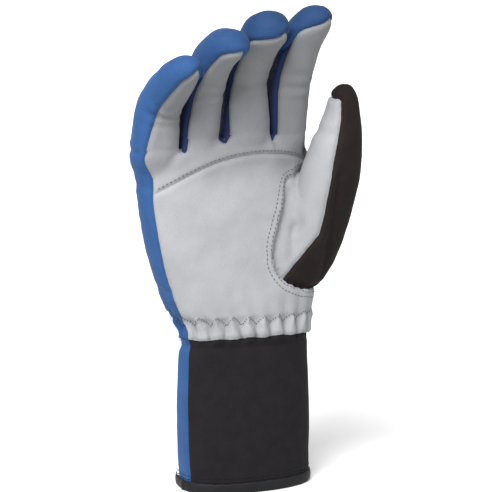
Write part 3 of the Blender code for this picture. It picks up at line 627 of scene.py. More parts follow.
def wrinkles(points, info):
    """How far each point of the skin stands out or in, for folds and puckers."""
    z, s, phi = info["z"], info["s"], info["phi"]
    is_thumb = info["is_thumb"] > 0
    hand = ~is_thumb & (s < 0)
    out = 0.55 * ripple(points, 21.0, 1) + 0.22 * ripple(points, 8.0, 2)
    out *= np.where(z < 80, 0.8, 1.0)

    # Gathers over the wrist elastic: a pointed puff under each tooth of the zigzag row.
    turn = wrist_turns(info["hand_phi"])
    side = np.abs(turn - np.round(turn)) * 2
    wide = 1.05 - 0.95 * ramp(z, 92.0, 106.5)
    puff = np.sqrt(np.clip(1 - (side / wide.clip(0.05)) ** 2, 0, 1))
    valley = bell(1 - side, 0.22) * (1 - ramp(z, 100.0, 104.5))
    low = ramp(z, 89.0, 93.0) * (1 - ramp(z, 103.0, 106.5))
    uneven = 1.0 + 0.35 * ripple(points, 12.0, 6)
    out += np.where(hand, low * (2.5 * puff * uneven - 0.9 - 1.5 * valley), 0.0)
    dent = ramp(z, 100.0, 104.0) * np.exp(-np.clip(z - 104.0, 0, 99) / 8.0)
    swell = 1.0 + 0.5 * ripple(points, 17.0, 5)
    out += np.where(hand, dent * (0.2 - 1.5 * side**1.5 * swell), 0.0)
    out += np.where(hand, -0.8 * bell(z - 88.0, 2.0), 0.0)

    # Creases across the little-finger side, and the sewn line along the little finger's back.
    edge = np.degrees(info["hand_phi"])
    outer = np.exp(-(((np.abs(edge) - 178.0) / 26.0) ** 2)) * ramp(-points[:, 0], 30, 45)
    slope = 0.10 * (points[:, 1] + 10.0)
    for level, width, depth in ((203.5, 1.8, 0.8), (183.0, 2.4, 0.55), (121.0, 2.6, 0.5)):
        out += outer * fold(z - level - slope, width, depth)
    line = np.where(phi < -math.pi / 2, phi + 2 * math.pi, phi) - math.radians(205.0)
    sewn = np.exp(-((line * 12.0 / 0.9) ** 2)) * ramp(s, 8, 20) * (1 - ramp(s, 60, 70))
    out += np.where((info["finger"] == 0) & ~is_thumb, -0.8 * sewn, 0.0)

    # Finger folds on the palm side, at the base and at the knuckle.
    for k, finger in enumerate(fingers):
        on = (info["finger"] == k) & ~is_thumb & (s > -8)
        front = np.clip(np.sin(phi), 0, 1)
        bend = s + 0.6 * ripple(points, 9.0, 10 + k)
        fold_sum = fold(bend - finger.len0, 3.0, 0.75) + fold(bend - finger.len0 + 8.5, 2.4, 0.3)
        fold_sum += fold(bend - finger.len0 - 9.0, 2.6, 0.3)
        fold_sum += fold(bend - 3.5, 2.6, 0.25)
        out += np.where(on, fold_sum * front, 0.0)
        back = np.clip(-np.sin(phi), 0, 1)
        out += np.where(on, 0.5 * back * np.cos(bend / 2.1) * ramp(s, 4, 14) * 0.5, 0.0)

    # Thumb: a long soft crease down its back and small folds at its knuckle.
    tz, tphi = info["thumb_z"], np.degrees(info["thumb_phi"])
    line = tphi - np.interp(tz, (125, 150, 175, 200), (-20, 2, 10, 20))
    crease = -1.5 * bell(line, 7.0) * ramp(tz, 128, 140) * (1 - ramp(tz, 186, 196))
    lip = 0.8 * bell(line - 16, 8.0) * ramp(tz, 128, 140) * (1 - ramp(tz, 186, 196))
    out += np.where(is_thumb, crease + lip, 0.0)
    pad = np.clip(np.sin(info["thumb_phi"]), 0, 1)
    out += np.where(is_thumb, fold(tz - 212.0 + 0.5 * ripple(points, 7.0, 20), 2.8, 0.6) * pad, 0.0)
    deep = info["is_thumb"] * 9.0
    palm_side = ramp(np.degrees(info["hand_phi"]), 10.0, 30.0) * (1 - ramp(z, 172.0, 186.0))
    out -= np.where(is_thumb, 2.3 * bell(deep - 1.0, 4.5) * palm_side, 0.0)
    nick = np.hypot((points[:, 0] - 27.5) / 3.2, (z - 158.0 - (points[:, 0] - 27.5) * 0.9) / 4.5)
    out -= np.where(is_thumb, 1.6 * np.exp(-(nick**2)) * palm_side, 0.0)
    return out


# ------------------------------------------------------------------- cutting


def crossing_cut(points, flat, tris, value, active):
    """Splits triangles along value = 0 between active points, so that the line has its own edges."""
    value = value.copy()
    edges = edges_of(tris)
    for _ in range(2):
        v0, v1 = value[edges[:, 0]], value[edges[:, 1]]
        hit = (v0 * v1 < 0) & active[edges[:, 0]] & active[edges[:, 1]]
        e, t = edges[hit], (v0 / np.where(v0 == v1, 1, v0 - v1))[hit]
        for side, close in ((0, t < 0.22), (1, t > 0.78)):
            who = e[close, side]
            if not len(who):
                continue
            other = e[close, 1 - side]
            share = np.where(side == 0, t[close], 1 - t[close])[:, None]
            spot = points[who] * (1 - share) + points[other] * share
            flat_spot = flat[who] * (1 - share) + flat[other] * share
            first = np.unique(who, return_index=True)[1]
            fresh = value[who[first]] != 0
            take = first[fresh]
            points[who[take]] = spot[take]
            flat[who[take]] = flat_spot[take]
            value[who[take]] = 0.0
            break
    v0, v1 = value[edges[:, 0]], value[edges[:, 1]]
    hit = (v0 * v1 < 0) & active[edges[:, 0]] & active[edges[:, 1]]
    if not hit.any():
        return points, flat, tris
    t = (v0[hit] / (v0[hit] - v1[hit]))[:, None]
    e = edges[hit]
    new_points = points[e[:, 0]] * (1 - t) + points[e[:, 1]] * t
    new_flat = flat[e[:, 0]] * (1 - t) + flat[e[:, 1]] * t
    n = len(points)
    key = {tuple(pair): n + i for i, pair in enumerate(e.tolist())}
    points = np.concatenate([points, new_points])
    flat = np.concatenate([flat, new_flat])
    hit_points = np.zeros(n, bool)
    hit_points[e.ravel()] = True
    touched = hit_points[tris].sum(1) >= 2
    result = [tris[~touched]]
    extra = []
    for a, b, c in tris[touched].tolist():
        ab = key.get((a, b) if a < b else (b, a))
        bc = key.get((b, c) if b < c else (c, b))
        ca = key.get((c, a) if c < a else (a, c))
        cuts = (ab is not None) + (bc is not None) + (ca is not None)
        if cuts == 0:
            extra.append((a, b, c))
        elif cuts == 1:
            if bc is not None:
                a, b, c, ab = b, c, a, bc
            elif ca is not None:
                a, b, c, ab = c, a, b, ca
            extra += [(a, ab, c), (ab, b, c)]
        elif cuts == 2:
            if ab is None:
                a, b, c, ab, ca = c, a, b, ca, bc
            elif ca is None:
                a, b, c, ab, ca = b, c, a, bc, ab
            extra += [(a, ab, ca), (ab, b, ca), (b, c, ca)]
        else:
            extra += [(a, ab, ca), (ab, b, bc), (bc, c, ca), (ab, bc, ca)]
    result.append(np.array(extra, np.int64).reshape(-1, 3))
    return points, flat, np.concatenate(result)


# Height of the curved palm seam, by place across the hand before spreading.
PALM_SEAM = np.array(
    (
        *((-70, 175.0), (-58, 180.0), (-49, 184.8), (-38, 190.5), (-28, 195.2), (-18, 198.3)),
        *((-8, 200.4), (4, 201.4), (16, 201.2), (28, 199.6), (40, 196.4), (52, 192.0)),
    )
)


def palm_seam(x):
    return hermite(PALM_SEAM, np.clip(x, -70, 52))[..., 1]


def cuff_seam(info):
    """Height of the seam between cuff and hand, a little uneven because of the gathers."""
    around = np.degrees(info["hand_phi"]) % 360
    level = np.interp(
        around,
        (0, 20, 70, 110, 150, 170, 200, 270, 340, 360),
        (90.6, 90.8, 93.2, 93.0, 92.0, 91.8, 91, 90.5, 90.5, 90.6),
    )
    return level + 0.5 * np.cos(2 * math.pi * wrist_turns(info["hand_phi"]) / 2)


def side_fields(k, info):
    """How far, in degrees, a point is inside the front panel and inside each dark side strip."""
    finger, s = fingers[k], info["sew_s"]
    phi = np.degrees(info["phi"])
    phi = from_minus_90(phi)
    ulnar_edge = np.interp(s, finger.sew_line[:, 0], finger.sew_line[:, 1])
    radial_edge = np.full_like(s, RADIAL_LINE[k])
    close = np.clip((s - finger.total + 13.0) / 9.5, 0, 1)
    squeeze = np.sqrt(np.maximum(1 - close**2.4, 0))
    keep = radial_edge + 0.18 * (ulnar_edge - radial_edge)
    front = np.minimum(
        keep + (ulnar_edge - keep) * squeeze - phi, phi - keep - (radial_edge - keep) * squeeze
    )
    front = np.where(s > finger.total - 3.5, -5.0, front)
    taper = 1 - ramp(s, finger.side_end - 32.0, finger.side_end)
    ulnar = np.minimum(phi - ulnar_edge, ulnar_edge + (218.0 - ulnar_edge) * taper - phi)
    radial = np.minimum(radial_edge - phi, phi - radial_edge + (38.0 + radial_edge) * taper)
    if k == 0:
        ulnar = np.full_like(s, -1.0)
    if k == 3:
        top = 1 - ramp(s, 14.0, 27.0)
        radial = np.minimum(9.0 + 10.0 * top - phi, phi + 12.0 - (1 - top) * 24.0)
    return front, ulnar, radial


def keyhole(j, flat):
    """Inside the dark rounded opening at the foot of the gap between two fingers."""
    mid = (centre_x[j] + fingers[j].a + centre_x[j + 1] - fingers[j + 1].a) / 2 + 0.8
    across, up = KEYHOLE[j]
    below = np.minimum(flat[:, 2] - WEBS[j] - 2.5, 0.0)
    return 1 - np.hypot((flat[:, 0] - mid) / across, below / up)


def hand_fields(info, flat):
    """Signed fields for the seams of hand and cuff; zero on each seam."""
    phi, z, x = np.degrees(info["hand_phi"]), info["z"], flat[:, 0]
    turned = from_minus_90(phi)
    ulnar_front = np.interp(z, (0, 86, 106, 140, 175, 200, 206), (160, 160, 157, 155, 152, 146, 140))
    return {
        "ulnar_front": turned - ulnar_front,
        "ulnar_back": turned - np.interp(z, (0, 80, 95, 115, 140, 206), (185, 184, 179, 184, 195, 200)),
        "radial_back": np.where(turned > 180, -100, turned) + 8.0,
        "knit": np.where(turned > 180, -100, turned) - 21.0,
        "palm": z - palm_seam(x - ramp(z, 165, 203) * np.interp(x, centre_x, [-9, -3, 3, 9])),
        "cuff": z - cuff_seam(info),
        "back_wrist": z - 124.0,
    }


def thumb_fields(info):
    """How far a point is inside the thumb's pale front panel, and its distance above that panel's end."""
    phi, z = np.degrees(info["thumb_phi"]), info["thumb_z"]
    phi = from_minus_90(phi)
    near = np.interp(z, (118, 130, 140, 155, 180, 205, 222, 234), (62, 46, 36, 29, 33, 39, 41, 52))
    far = np.interp(z, (118, 170, 186, 234), (230, 230, 160, 156))
    high = np.radians(np.minimum(phi - near, far - phi))
    x, real_z = info["x"], info["z"]
    low = (real_z - np.interp(x, (8, 19.5, 28, 35, 40), (116, 126, 137, 149, 162))) / 16.0
    low = np.minimum(low, np.radians(far - phi))
    blend = ramp(real_z, 141.0, 154.0)
    return high * blend + low * (1 - blend), z - 233.5 - 0.02 * (phi - 90)


THUMB_BEND = (185.0, 201.0)
THUMB_CUT = 202.0
THUMB_KNUCKLE = (204.0, 224.0)
KNUCKLE_REACH = 22.0
WRIST_X = 0.8


def cut_everything(points, flat, tris):
    """Gives every seam and every change of body its own line of edges."""

    def again(rule, keep):
        nonlocal points, flat, tris
        info = survey(flat)
        points, flat, tris = crossing_cut(points, flat, tris, rule(info), keep(info))

    def on_hand(i):
        return (i["is_thumb"] <= 1e-3) & (i["z"] < 214)

    again(lambda i: i["z"] - 0.4, lambda i: i["z"] < 30)
    again(lambda i: i["is_thumb"], lambda i: (i["z"] > 112) & (i["z"] < 205) & (flat[:, 0] > 5))
    for k, finger in enumerate(fingers):
        again(
            lambda i: i["z"] - finger.bend_z,
            lambda i: (i["finger"] == k) & (i["is_thumb"] < 0.01),
        )
        for rank in range(3):
            again(
                lambda i: side_fields(k, i)[rank],
                lambda i: (i["finger"] == k) & (i["z"] > finger.bend_z - 0.05) & (i["is_thumb"] < 0.01),
            )
        again(
            lambda i: i["s"] - lower_cut(k),
            lambda i: (i["finger"] == k) & (i["is_thumb"] < 0.01) & (i["s"] > 5),
        )
    for j in range(3):
        again(
            lambda i: keyhole(j, flat),
            lambda i: (np.abs(keyhole(j, flat)) < 0.9)
            & (i["z"] > WEBS[j] - 12)
            & (i["z"] < BEND_Z[i["finger"]] + 0.05),
        )
    for rank in range(2):
        again(lambda i: thumb_fields(i)[rank], lambda i: i["is_thumb"] > -0.01)
    for level in (THUMB_BEND[0], THUMB_CUT):
        again(lambda i: i["thumb_z"] - level, lambda i: i["is_thumb"] > -0.01)
    for key in ("ulnar_front", "ulnar_back", "radial_back", "knit", "palm", "cuff", "back_wrist"):
        again(
            lambda i: hand_fields(i, flat)[key],
            lambda i: on_hand(i) & field_reach(key, i),
        )
    for level in (WRIST_LOW, WRIST_HIGH):
        again(lambda i: i["z"] - level, lambda i: i["z"] < 120)
    return points, flat, tris


def field_reach(key, i):
    """Where each hand seam runs."""
    phi = np.degrees(i["hand_phi"])
    turned = from_minus_90(phi)
    below = i["z"] < BEND_Z[i["finger"]] + 0.05
    front = (turned > -8.5) & (turned < 162)
    if key == "ulnar_front":
        return below & (turned > 100) & (turned < 200)
    if key == "ulnar_back":
        return below & (turned > 150) & (turned < 240)
    if key == "radial_back":
        return below & (turned > -60) & (turned < 60)
    if key == "knit":
        return below & (turned > -30) & (turned < 60) & (i["z"] > 190)
    if key == "palm":
        return below & front & (i["z"] > 160)
    if key == "cuff":
        return i["z"] < 110
    return (turned > 192) & (turned < 352.5) & (i["z"] > 110) & (i["z"] < 140)


def lower_cut(k):
    """Arc length at which a finger's skin changes from its lower to its upper piece."""
    return fingers[k].len0 - 12.5


# ------------------------------------------------------------------- labelling


def labels_of(flat, tris):
    """The piece name of every triangle."""
    mid = flat[tris].mean(1)
    info = survey(mid)
    z = info["z"]
    fields = hand_fields(info, mid)
    names = np.empty(len(tris), dtype=object)
    front = fields["ulnar_front"] < 0
    ulnar = (fields["ulnar_front"] >= 0) & (fields["ulnar_back"] < 0)
    radial_front = fields["radial_back"] > 0
    cuff = fields["cuff"] < 0
    is_front = front & radial_front
    names[:] = "back_hand"
    names[fields["back_wrist"] < 0] = "back_wrist"
    names[is_front] = "palm_lower"
    names[is_front & (fields["palm"] > 0)] = "palm_upper"
    names[is_front & (fields["palm"] > 0) & (fields["knit"] < 0)] = "radial_strip"
    names[ulnar] = "ulnar_strip"
    names[cuff] = "cuff_back"
    names[cuff & is_front] = "cuff_front"
    names[cuff & ulnar] = "cuff_side"
    wrist = (z > WRIST_LOW) & (z < WRIST_HIGH)
    names[wrist] = np.array([n + "_wrist" for n in names[wrist]], dtype=object)
    above = z > BEND_Z[info["finger"]]
    on_thumb = info["is_thumb"] > 0
    for k, finger in enumerate(fingers):
        mine = (info["finger"] == k) & ~on_thumb
        f, u, r = side_fields(k, info)
        kind = np.where(u > 0, "ulnar_side", np.where(r > 0, "radial_side", np.where(f > 0, "front", "back")))
        part = np.where(info["s"] < lower_cut(k), "base", "end")
        full = np.array([f"{finger.name}_{a}_{b}" for a, b in zip(kind, part)], dtype=object)
        names[mine & above] = full[mine & above]
        for j, side in ((k - 1, "ulnar_side"), (k, "radial_side")):
            if 0 <= j < 3:
                hole = (keyhole(j, mid) > 0) & (z > WEBS[j] - 12) & ~above
                names[mine & hole] = f"{finger.name}_{side}_base"
    pale, tip = thumb_fields(info)
    kind = np.where((pale > 0) & (tip < 0), "front", "back")
    tz = info["thumb_z"]
    part = np.where(tz < THUMB_BEND[0], "root", np.where(tz < THUMB_CUT, "base", "end"))
    full = np.array([f"thumb_{a}_{b}" for a, b in zip(kind, part)], dtype=object)
    names[on_thumb] = full[on_thumb]
    names[z < 0.4] = "below"
    return names


def fabric_of(name):
    """The sewn panel a piece belongs to, so that cuts for bending leave no groove."""
    for tail in ("_wrist", "_base", "_end", "_root"):
        if name.endswith(tail):
            name = name[: -len(tail)]
    joined = {
        "palm_upper": "upper",
        "back_hand": "back",
        "ulnar_strip": "ulnar",
        "index_radial_side": "radial_strip",
    }
    for finger in NAMES:
        if name == f"{finger}_front":
            return "upper"
        if name == f"{finger}_back":
            return "back" if finger != "little" else "ulnar"
    return joined.get(name, name)


COLOUR_OF = {
    "upper": "grey_suede",
    "palm_lower": "grey_suede",
    "back": "blue_softshell",
    "ulnar": "blue_softshell",
    "cuff_side": "blue_softshell",
    "cuff_front": "black_suede",
    "cuff_back": "white_softshell",
    "back_wrist": "white_softshell",
    "radial_strip": "knit",
    "thumb_front": "thumb_grey",
    "thumb_back": "thumb_suede",
}


def slot_of(name):
    """The fabric a piece is made of, as named in FABRICS."""
    fabric = fabric_of(name)
    if fabric == "index_radial_side":
        return "knit"
    if fabric.endswith("_side") and "cuff" not in fabric:
        return "gusset"
    return COLOUR_OF[fabric]


# ------------------------------------------------------------------- materials


def set_inputs(node, values):
    for name, value in values.items():
        node.inputs[name].default_value = value


def noise_texture(nodes, links, where, scale, detail, rough=0.5):
    texture = nodes.new("ShaderNodeTexNoise")
    set_inputs(texture, {"Scale": scale, "Detail": detail, "Roughness": rough})
    links.new(where.outputs["Object"], texture.inputs["Vector"])
    return texture.outputs["Fac"]


def maths(nodes, links, operation, first, second):
    """A Math node of two values; a number is set on the node, an output is linked."""
    node = nodes.new("ShaderNodeMath")
    node.operation = operation
    for rank, value in enumerate((first, second)):
        if isinstance(value, float):
            node.inputs[rank].default_value = value
        else:
            links.new(value, node.inputs[rank])
    return node.outputs[0]


def shaded_with_height(nodes, links, where, colour_out, painted_shade):
    """Painted shade: darkens a fabric between two heights in millimetres, down to the given share of its
    colour, standing in for the shade on parts of the glove that tilt away from the light.
    """
    low, high, share = painted_shade
    split = nodes.new("ShaderNodeSeparateXYZ")
    links.new(where.outputs["Object"], split.inputs[0])
    span = nodes.new("ShaderNodeMapRange")
    span.interpolation_type = "SMOOTHSTEP"
    bounds = {"From Min": (low + ORIGIN[2]) * MM, "From Max": (high + ORIGIN[2]) * MM}
    set_inputs(span, {**bounds, "To Min": 1.0, "To Max": share})
    links.new(split.outputs["Z"], span.inputs["Value"])
    darker = nodes.new("ShaderNodeVectorMath")
    darker.operation = "SCALE"
    links.new(colour_out, darker.inputs[0])
    links.new(span.outputs["Result"], darker.inputs["Scale"])
    return darker.outputs[0]


def fabric_material(
    name, colour, rough, sheen, grain, weave, mottle, bump=0.25, tone=0.2, painted_shade=None
):
    """Cloth: fine fibre grain, a larger mottle of tone, optional weave and optional painted shade that
    darkens it with height, all as nodes.
    """
    mat = bpy.data.materials.new(name)
    mat.use_nodes = True
    nodes, links = mat.node_tree.nodes, mat.node_tree.links
    shader = nodes["Principled BSDF"]
    set_inputs(shader, {"Roughness": rough, "Sheen Weight": sheen})
    set_inputs(shader, {"Sheen Roughness": 0.45, "Specular IOR Level": 0.12})
    where = nodes.new("ShaderNodeTexCoord")
    fine = noise_texture(nodes, links, where, grain, 3.0, 0.65)
    broad = noise_texture(nodes, links, where, mottle, 4.0)
    half = maths(nodes, links, "MULTIPLY", maths(nodes, links, "ADD", fine, broad), 0.5)
    sharp = nodes.new("ShaderNodeMapRange")
    set_inputs(sharp, {"From Min": 0.36, "From Max": 0.64})
    links.new(half, sharp.inputs["Value"])
    mixer = nodes.new("ShaderNodeMixRGB")
    mixer.blend_type = "MIX"
    darker = [c * (1 - tone) for c in colour]
    lighter = [min(c * (1 + tone), 1) for c in colour]
    set_inputs(mixer, {"Color1": (*darker, 1), "Color2": (*lighter, 1)})
    links.new(sharp.outputs["Result"], mixer.inputs["Fac"])
    tint = mixer.outputs["Color"]
    # Painted shade: darker with height, standing in for shade, not a colour of the cloth.
    if painted_shade:
        tint = shaded_with_height(nodes, links, where, tint, painted_shade)
    links.new(tint, shader.inputs["Base Color"])
    height = fine
    if weave:
        height = maths(nodes, links, "ADD", fine, weave_height(nodes, links, where, weave))
    bumper = nodes.new("ShaderNodeBump")
    set_inputs(bumper, {"Strength": bump, "Distance": 0.0004})
    links.new(height, bumper.inputs["Height"])
    links.new(bumper.outputs["Normal"], shader.inputs["Normal"])
    return mat


def weave_height(nodes, links, where, count):
    """Two crossed sets of fine ribs."""
    ribs = []
    for axis in ("X", "Z"):
        wave = nodes.new("ShaderNodeTexWave")
        wave.wave_type = "BANDS"
        wave.bands_direction = axis
        set_inputs(wave, {"Scale": count, "Distortion": 0.4})
        links.new(where.outputs["Object"], wave.inputs["Vector"])
        ribs.append(wave.outputs["Fac"])
    return maths(nodes, links, "MULTIPLY", *ribs)


# Colour, roughness, sheen, grain and weave to the metre, mottle, bump, tone and painted shade with height.
FABRICS = {
    # Grey suede: painted shade, darker from 176 mm up to 224 mm, for the shade on the upper palm and finger
    # fronts.
    "grey_suede": (
        (0.252, 0.257, 0.268), 0.9, 0.04, 1700, 0, 45, 0.35, 0.10, (176, 224, 0.62)
    ),
    "thumb_grey": ((0.242, 0.247, 0.258), 0.9, 0.04, 1700, 0, 45, 0.35, 0.10),
    # Blue softshell: painted shade, darker from 244 mm up to 288 mm, for the shade on the upper finger backs
    # and tips.
    "blue_softshell": (
        (0.0195, 0.062, 0.170), 0.7, 0.04, 1100, 260, 60, 0.3, 0.14, (244, 288, 0.52)
    ),
    "gusset": ((0.012, 0.020, 0.062), 0.85, 0.04, 900, 200, 60, 0.3, 0.15),
    "black_suede": ((0.0088, 0.0078, 0.0090), 0.9, 0.02, 1300, 0, 120, 0.4),
    "thumb_suede": ((0.0110, 0.0080, 0.0074), 0.9, 0.02, 1300, 0, 120, 0.4),
    "white_softshell": ((0.62, 0.63, 0.64), 0.75, 0.1, 900, 260, 60, 0.25, 0.05),
    "knit": ((0.17, 0.155, 0.135), 0.9, 0.1, 700, 420, 90, 1.0, 0.3),
    "thread": ((0.085, 0.087, 0.094), 0.6, 0.05, 2500, 0, 200, 0.3),
    "dark_thread": ((0.006, 0.006, 0.007), 0.5, 0.05, 2500, 0, 200, 0.3),
    "binding": ((0.0095, 0.0095, 0.0105), 0.6, 0.03, 900, 0, 120, 0.35),
}
MATERIALS = {name: fabric_material(name, *row) for name, row in FABRICS.items()}


# --------------------------------------------------------------- making pieces


def world(points):
    """Millimetres in the glove's own frame to metres in the scene."""
    return (np.asarray(points) + ORIGIN) * MM


def world_spot(point):
    return tuple(world([point])[0])


def make_object(name, points, faces, material, normals=None):
    """A smooth-shaded mesh object, with its own point normals where they are given."""
    mesh = bpy.data.meshes.new(name)
    mesh.from_pydata(world(points).tolist(), [], [tuple(f) for f in faces])
    mesh.materials.append(MATERIALS[material])
    mesh.polygons.foreach_set("use_smooth", [True] * len(mesh.polygons))
    if normals is not None:
        mesh.normals_split_custom_set_from_vertices(normals.tolist())
    obj = bpy.data.objects.new(name, mesh)
    scene_objects.link(obj)
    return obj


def piece_mesh(points, normals, tris, seam_edges):
    """Outer and inner face of one piece, joined by a rim along its sewn edges."""
    used, local = np.unique(tris, return_inverse=True)
    local = local.reshape(-1, 3)
    outer = points[used]
    inner = outer - normals[used] * CLOTH
    n = len(used)
    faces = local.tolist() + (local[:, ::-1] + n).tolist()
    lookup = {int(v): i for i, v in enumerate(used)}
    for a, b in seam_edges:
        i, j = lookup[a], lookup[b]
        faces.append((j, i, i + n, j + n))
    all_normals = np.concatenate([normals[used], -normals[used]])
    return np.concatenate([outer, inner]), faces, all_normals


def border_edges(tris):
    """Directed edges used by one triangle only."""
    e = np.concatenate([tris[:, [0, 1]], tris[:, [1, 2]], tris[:, [2, 0]]])
    key = np.sort(e, axis=1)
    _, first, count = np.unique(key, axis=0, return_index=True, return_counts=True)
    return e[first[count == 1]]


WRIST_BEARING, WRIST_COUNT = count_wrist()


def build_skin():
    """The whole skin with its wrinkles: points on the glove, in the spread layout, and triangles."""
    flat, tris = merged_skin()
    edges = edges_of(tris)
    weight = np.full(len(flat), 0.35)
    flat = relax(flat, edges, weight, 4)
    info = survey(flat)
    points = closed_up(flat, info)
    joint = np.exp(-((info["is_thumb"] / 0.20) ** 2)) * ramp(info["z"], 110, 125) * (flat[:, 0] > 0)
    web = bell(info["s"] + 1, 5.0)
    points = relax(points, edges, np.clip(0.15 + 0.4 * joint + 0.25 * web, 0, 0.6), 8)
    normals = surface_normals(points, tris)
    points = points + normals * wrinkles(points, info)[:, None]
    return points, flat, tris


def seam_groove(points, normals, tris, names):
    """Turns the cloth in along every seam; returns the moved points."""
    fabrics = np.array([fabric_of(n) for n in names])
    e = np.concatenate([tris[:, [0, 1]], tris[:, [1, 2]], tris[:, [2, 0]]])
    owner = np.tile(np.arange(len(tris)), 3)
    key = np.sort(e, axis=1)
    order = np.lexsort((key[:, 1], key[:, 0]))
    key, owner = key[order], owner[order]
    same = (key[1:] == key[:-1]).all(1)
    a, b = owner[:-1][same], owner[1:][same]
    differ = fabrics[a] != fabrics[b]
    seam_points = np.unique(key[:-1][same][differ])
    tree = KDTree(len(seam_points))
    for i, v in enumerate(seam_points):
        tree.insert(points[v], i)
    tree.balance()
    gap = np.array([tree.find(Vector(p))[2] for p in points])
    turn = np.clip(1 - gap / 2.3, 0, 1)
    puff = bell(gap - 3.2, 1.4) * 0.18
    depth = -1.15 * turn**2.2 + puff
    return points + normals * depth[:, None]


def register(piece, body, nodes=(), blend=None):
    """Attaches a piece to its body, or, when blend arguments are given, only bakes its transform in place;
    hides the CAD nodes it stands for.
    """
    if blend:
        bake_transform(piece)
    else:
        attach(piece, body)
    if nodes:
        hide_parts(*nodes)


def motion_of(name):
    """(body, None) or (None, blend arguments) of a skin piece, by its name."""
    if name.endswith("_wrist"):
        start = world_spot((WRIST_X, 0.0, WRIST_LOW + 1.0))
        end = world_spot((WRIST_X, 0.0, WRIST_HIGH - 0.5))
        return None, ("cuff", "hand", start, end)
    if name.startswith("cuff"):
        return "cuff", None
    is_base = name.endswith("_base")
    for k, finger in enumerate(fingers):
        if not name.startswith(finger.name + "_"):
            continue
        i = int(np.searchsorted(finger.s, lower_cut(k)))
        if is_base:
            low = (finger.base[0], finger.base[1], finger.bend_z)
            high = (finger.base[0], finger.base[1], finger.c[i, 2] - 3.5)
            return None, ("hand", finger.name, world_spot(low), world_spot(high))
        first = finger.c[i] + finger.d[i] * 1.2
        last = first + finger.d[i] * KNUCKLE_REACH
        return None, (finger.name, finger.name + "_tip", world_spot(first), world_spot(last))
    if name.startswith("thumb") and not name.endswith("_root"):
        low, high = THUMB_BEND if is_base else THUMB_KNUCKLE
        pair = ("hand", "thumb") if is_base else ("thumb", "thumb_tip")
        pad = 0.3 if is_base else 0.0
        ends = [int(np.argmin(np.abs(thumb.z - z))) for z in (low + pad, high - pad)]
        return None, (*pair, *[world_spot(thumb.c[i]) for i in ends])
    return "hand", None


def nodes_of(name):
    """CAD nodes that a skin piece stands for."""
    fixed = {
        "palm_lower": ["palm_lower_panel"],
        "palm_lower_wrist": ["wrist_gather_front"],
        "palm_upper": ["palm_upper_panel"] + [f"{n}_base_crease" for n in NAMES],
        "radial_strip": ["radial_side_strip"],
        "ulnar_strip": ["ulnar_side_strip"],
        "back_hand": ["back_hand_panel"],
        "back_wrist": ["back_wrist_panel"],
        "back_wrist_wrist": ["wrist_gather_back"],
        "cuff_front": ["cuff_front_panel"],
        "cuff_side": ["cuff_side_strip"],
        "cuff_back": ["cuff_back_panel"],
        "thumb_front_root": ["thumb_root_front"],
        "thumb_back_root": ["thumb_root_back"],
        "thumb_front_base": ["thumb_front_lower", "thumb_base_crease"],
        "thumb_back_base": ["thumb_back_lower"],
        "thumb_front_end": ["thumb_front_upper", "thumb_knuckle_crease"],
        "thumb_back_end": ["thumb_back_upper"],
    }
    if name in fixed:
        return fixed[name]
    for n in NAMES:
        if name.startswith(n + "_"):
            rest = name[len(n) + 1 :]
            level = "lower" if rest.endswith("_base") else "upper"
            kind = rest.rsplit("_", 1)[0]
            if kind in ("front", "back"):
                found = [f"{n}_{kind}_{level}"]
                if kind == "front" and level == "upper":
                    found.append(f"{n}_knuckle_crease")
                return found
            if kind == "radial_side" and n == "index":
                return []
            return [f"{n}_fourchette_{kind.split('_')[0]}_{level}"]
    return []


def make_skin_pieces(points, flat, tris):
    """One thick cloth piece for every name, attached to its body or, for a piece between two bodies, left in
    place with its transform baked; the CAD nodes it stands for are hidden.
    """
    names = labels_of(flat, tris)
    keep = names != "below"
    tris, names = tris[keep], names[keep]
    normals = surface_normals(points, tris)
    points = seam_groove(points, normals, tris, names)
    normals = surface_normals(points, tris)
    fabrics = np.array([fabric_of(n) for n in names])
    rims = {}
    for fabric in np.unique(fabrics):
        for a, b in border_edges(tris[fabrics == fabric]).tolist():
            rims.setdefault(fabric, set()).add((a, b))
    made = {}
    for name in sorted(set(names)):
        part = tris[names == name]
        rim = [
            (a, b)
            for a, b in border_edges(part).tolist()
            if (a, b) in rims[fabric_of(name)]
        ]
        verts, faces, vertex_normals = piece_mesh(points, normals, part, rim)
        obj = make_object(name, verts, faces, slot_of(name), vertex_normals)
        body, blend = motion_of(name)
        register(obj, body, nodes_of(name), blend)
        made[name] = obj
    return points, normals, tris, names, made


# ---------------------------------------------------------------- stage, camera

# Camera: degrees round to the left and up, distance and width of view at the glove, sideways shift.
VIEW_TURN, VIEW_LIFT = 22.0, 8.0
VIEW_DISTANCE, VIEW_WIDTH = 950.0, 297.6
VIEW_SHIFT = 3.6 / VIEW_WIDTH
SENSOR = 36.0


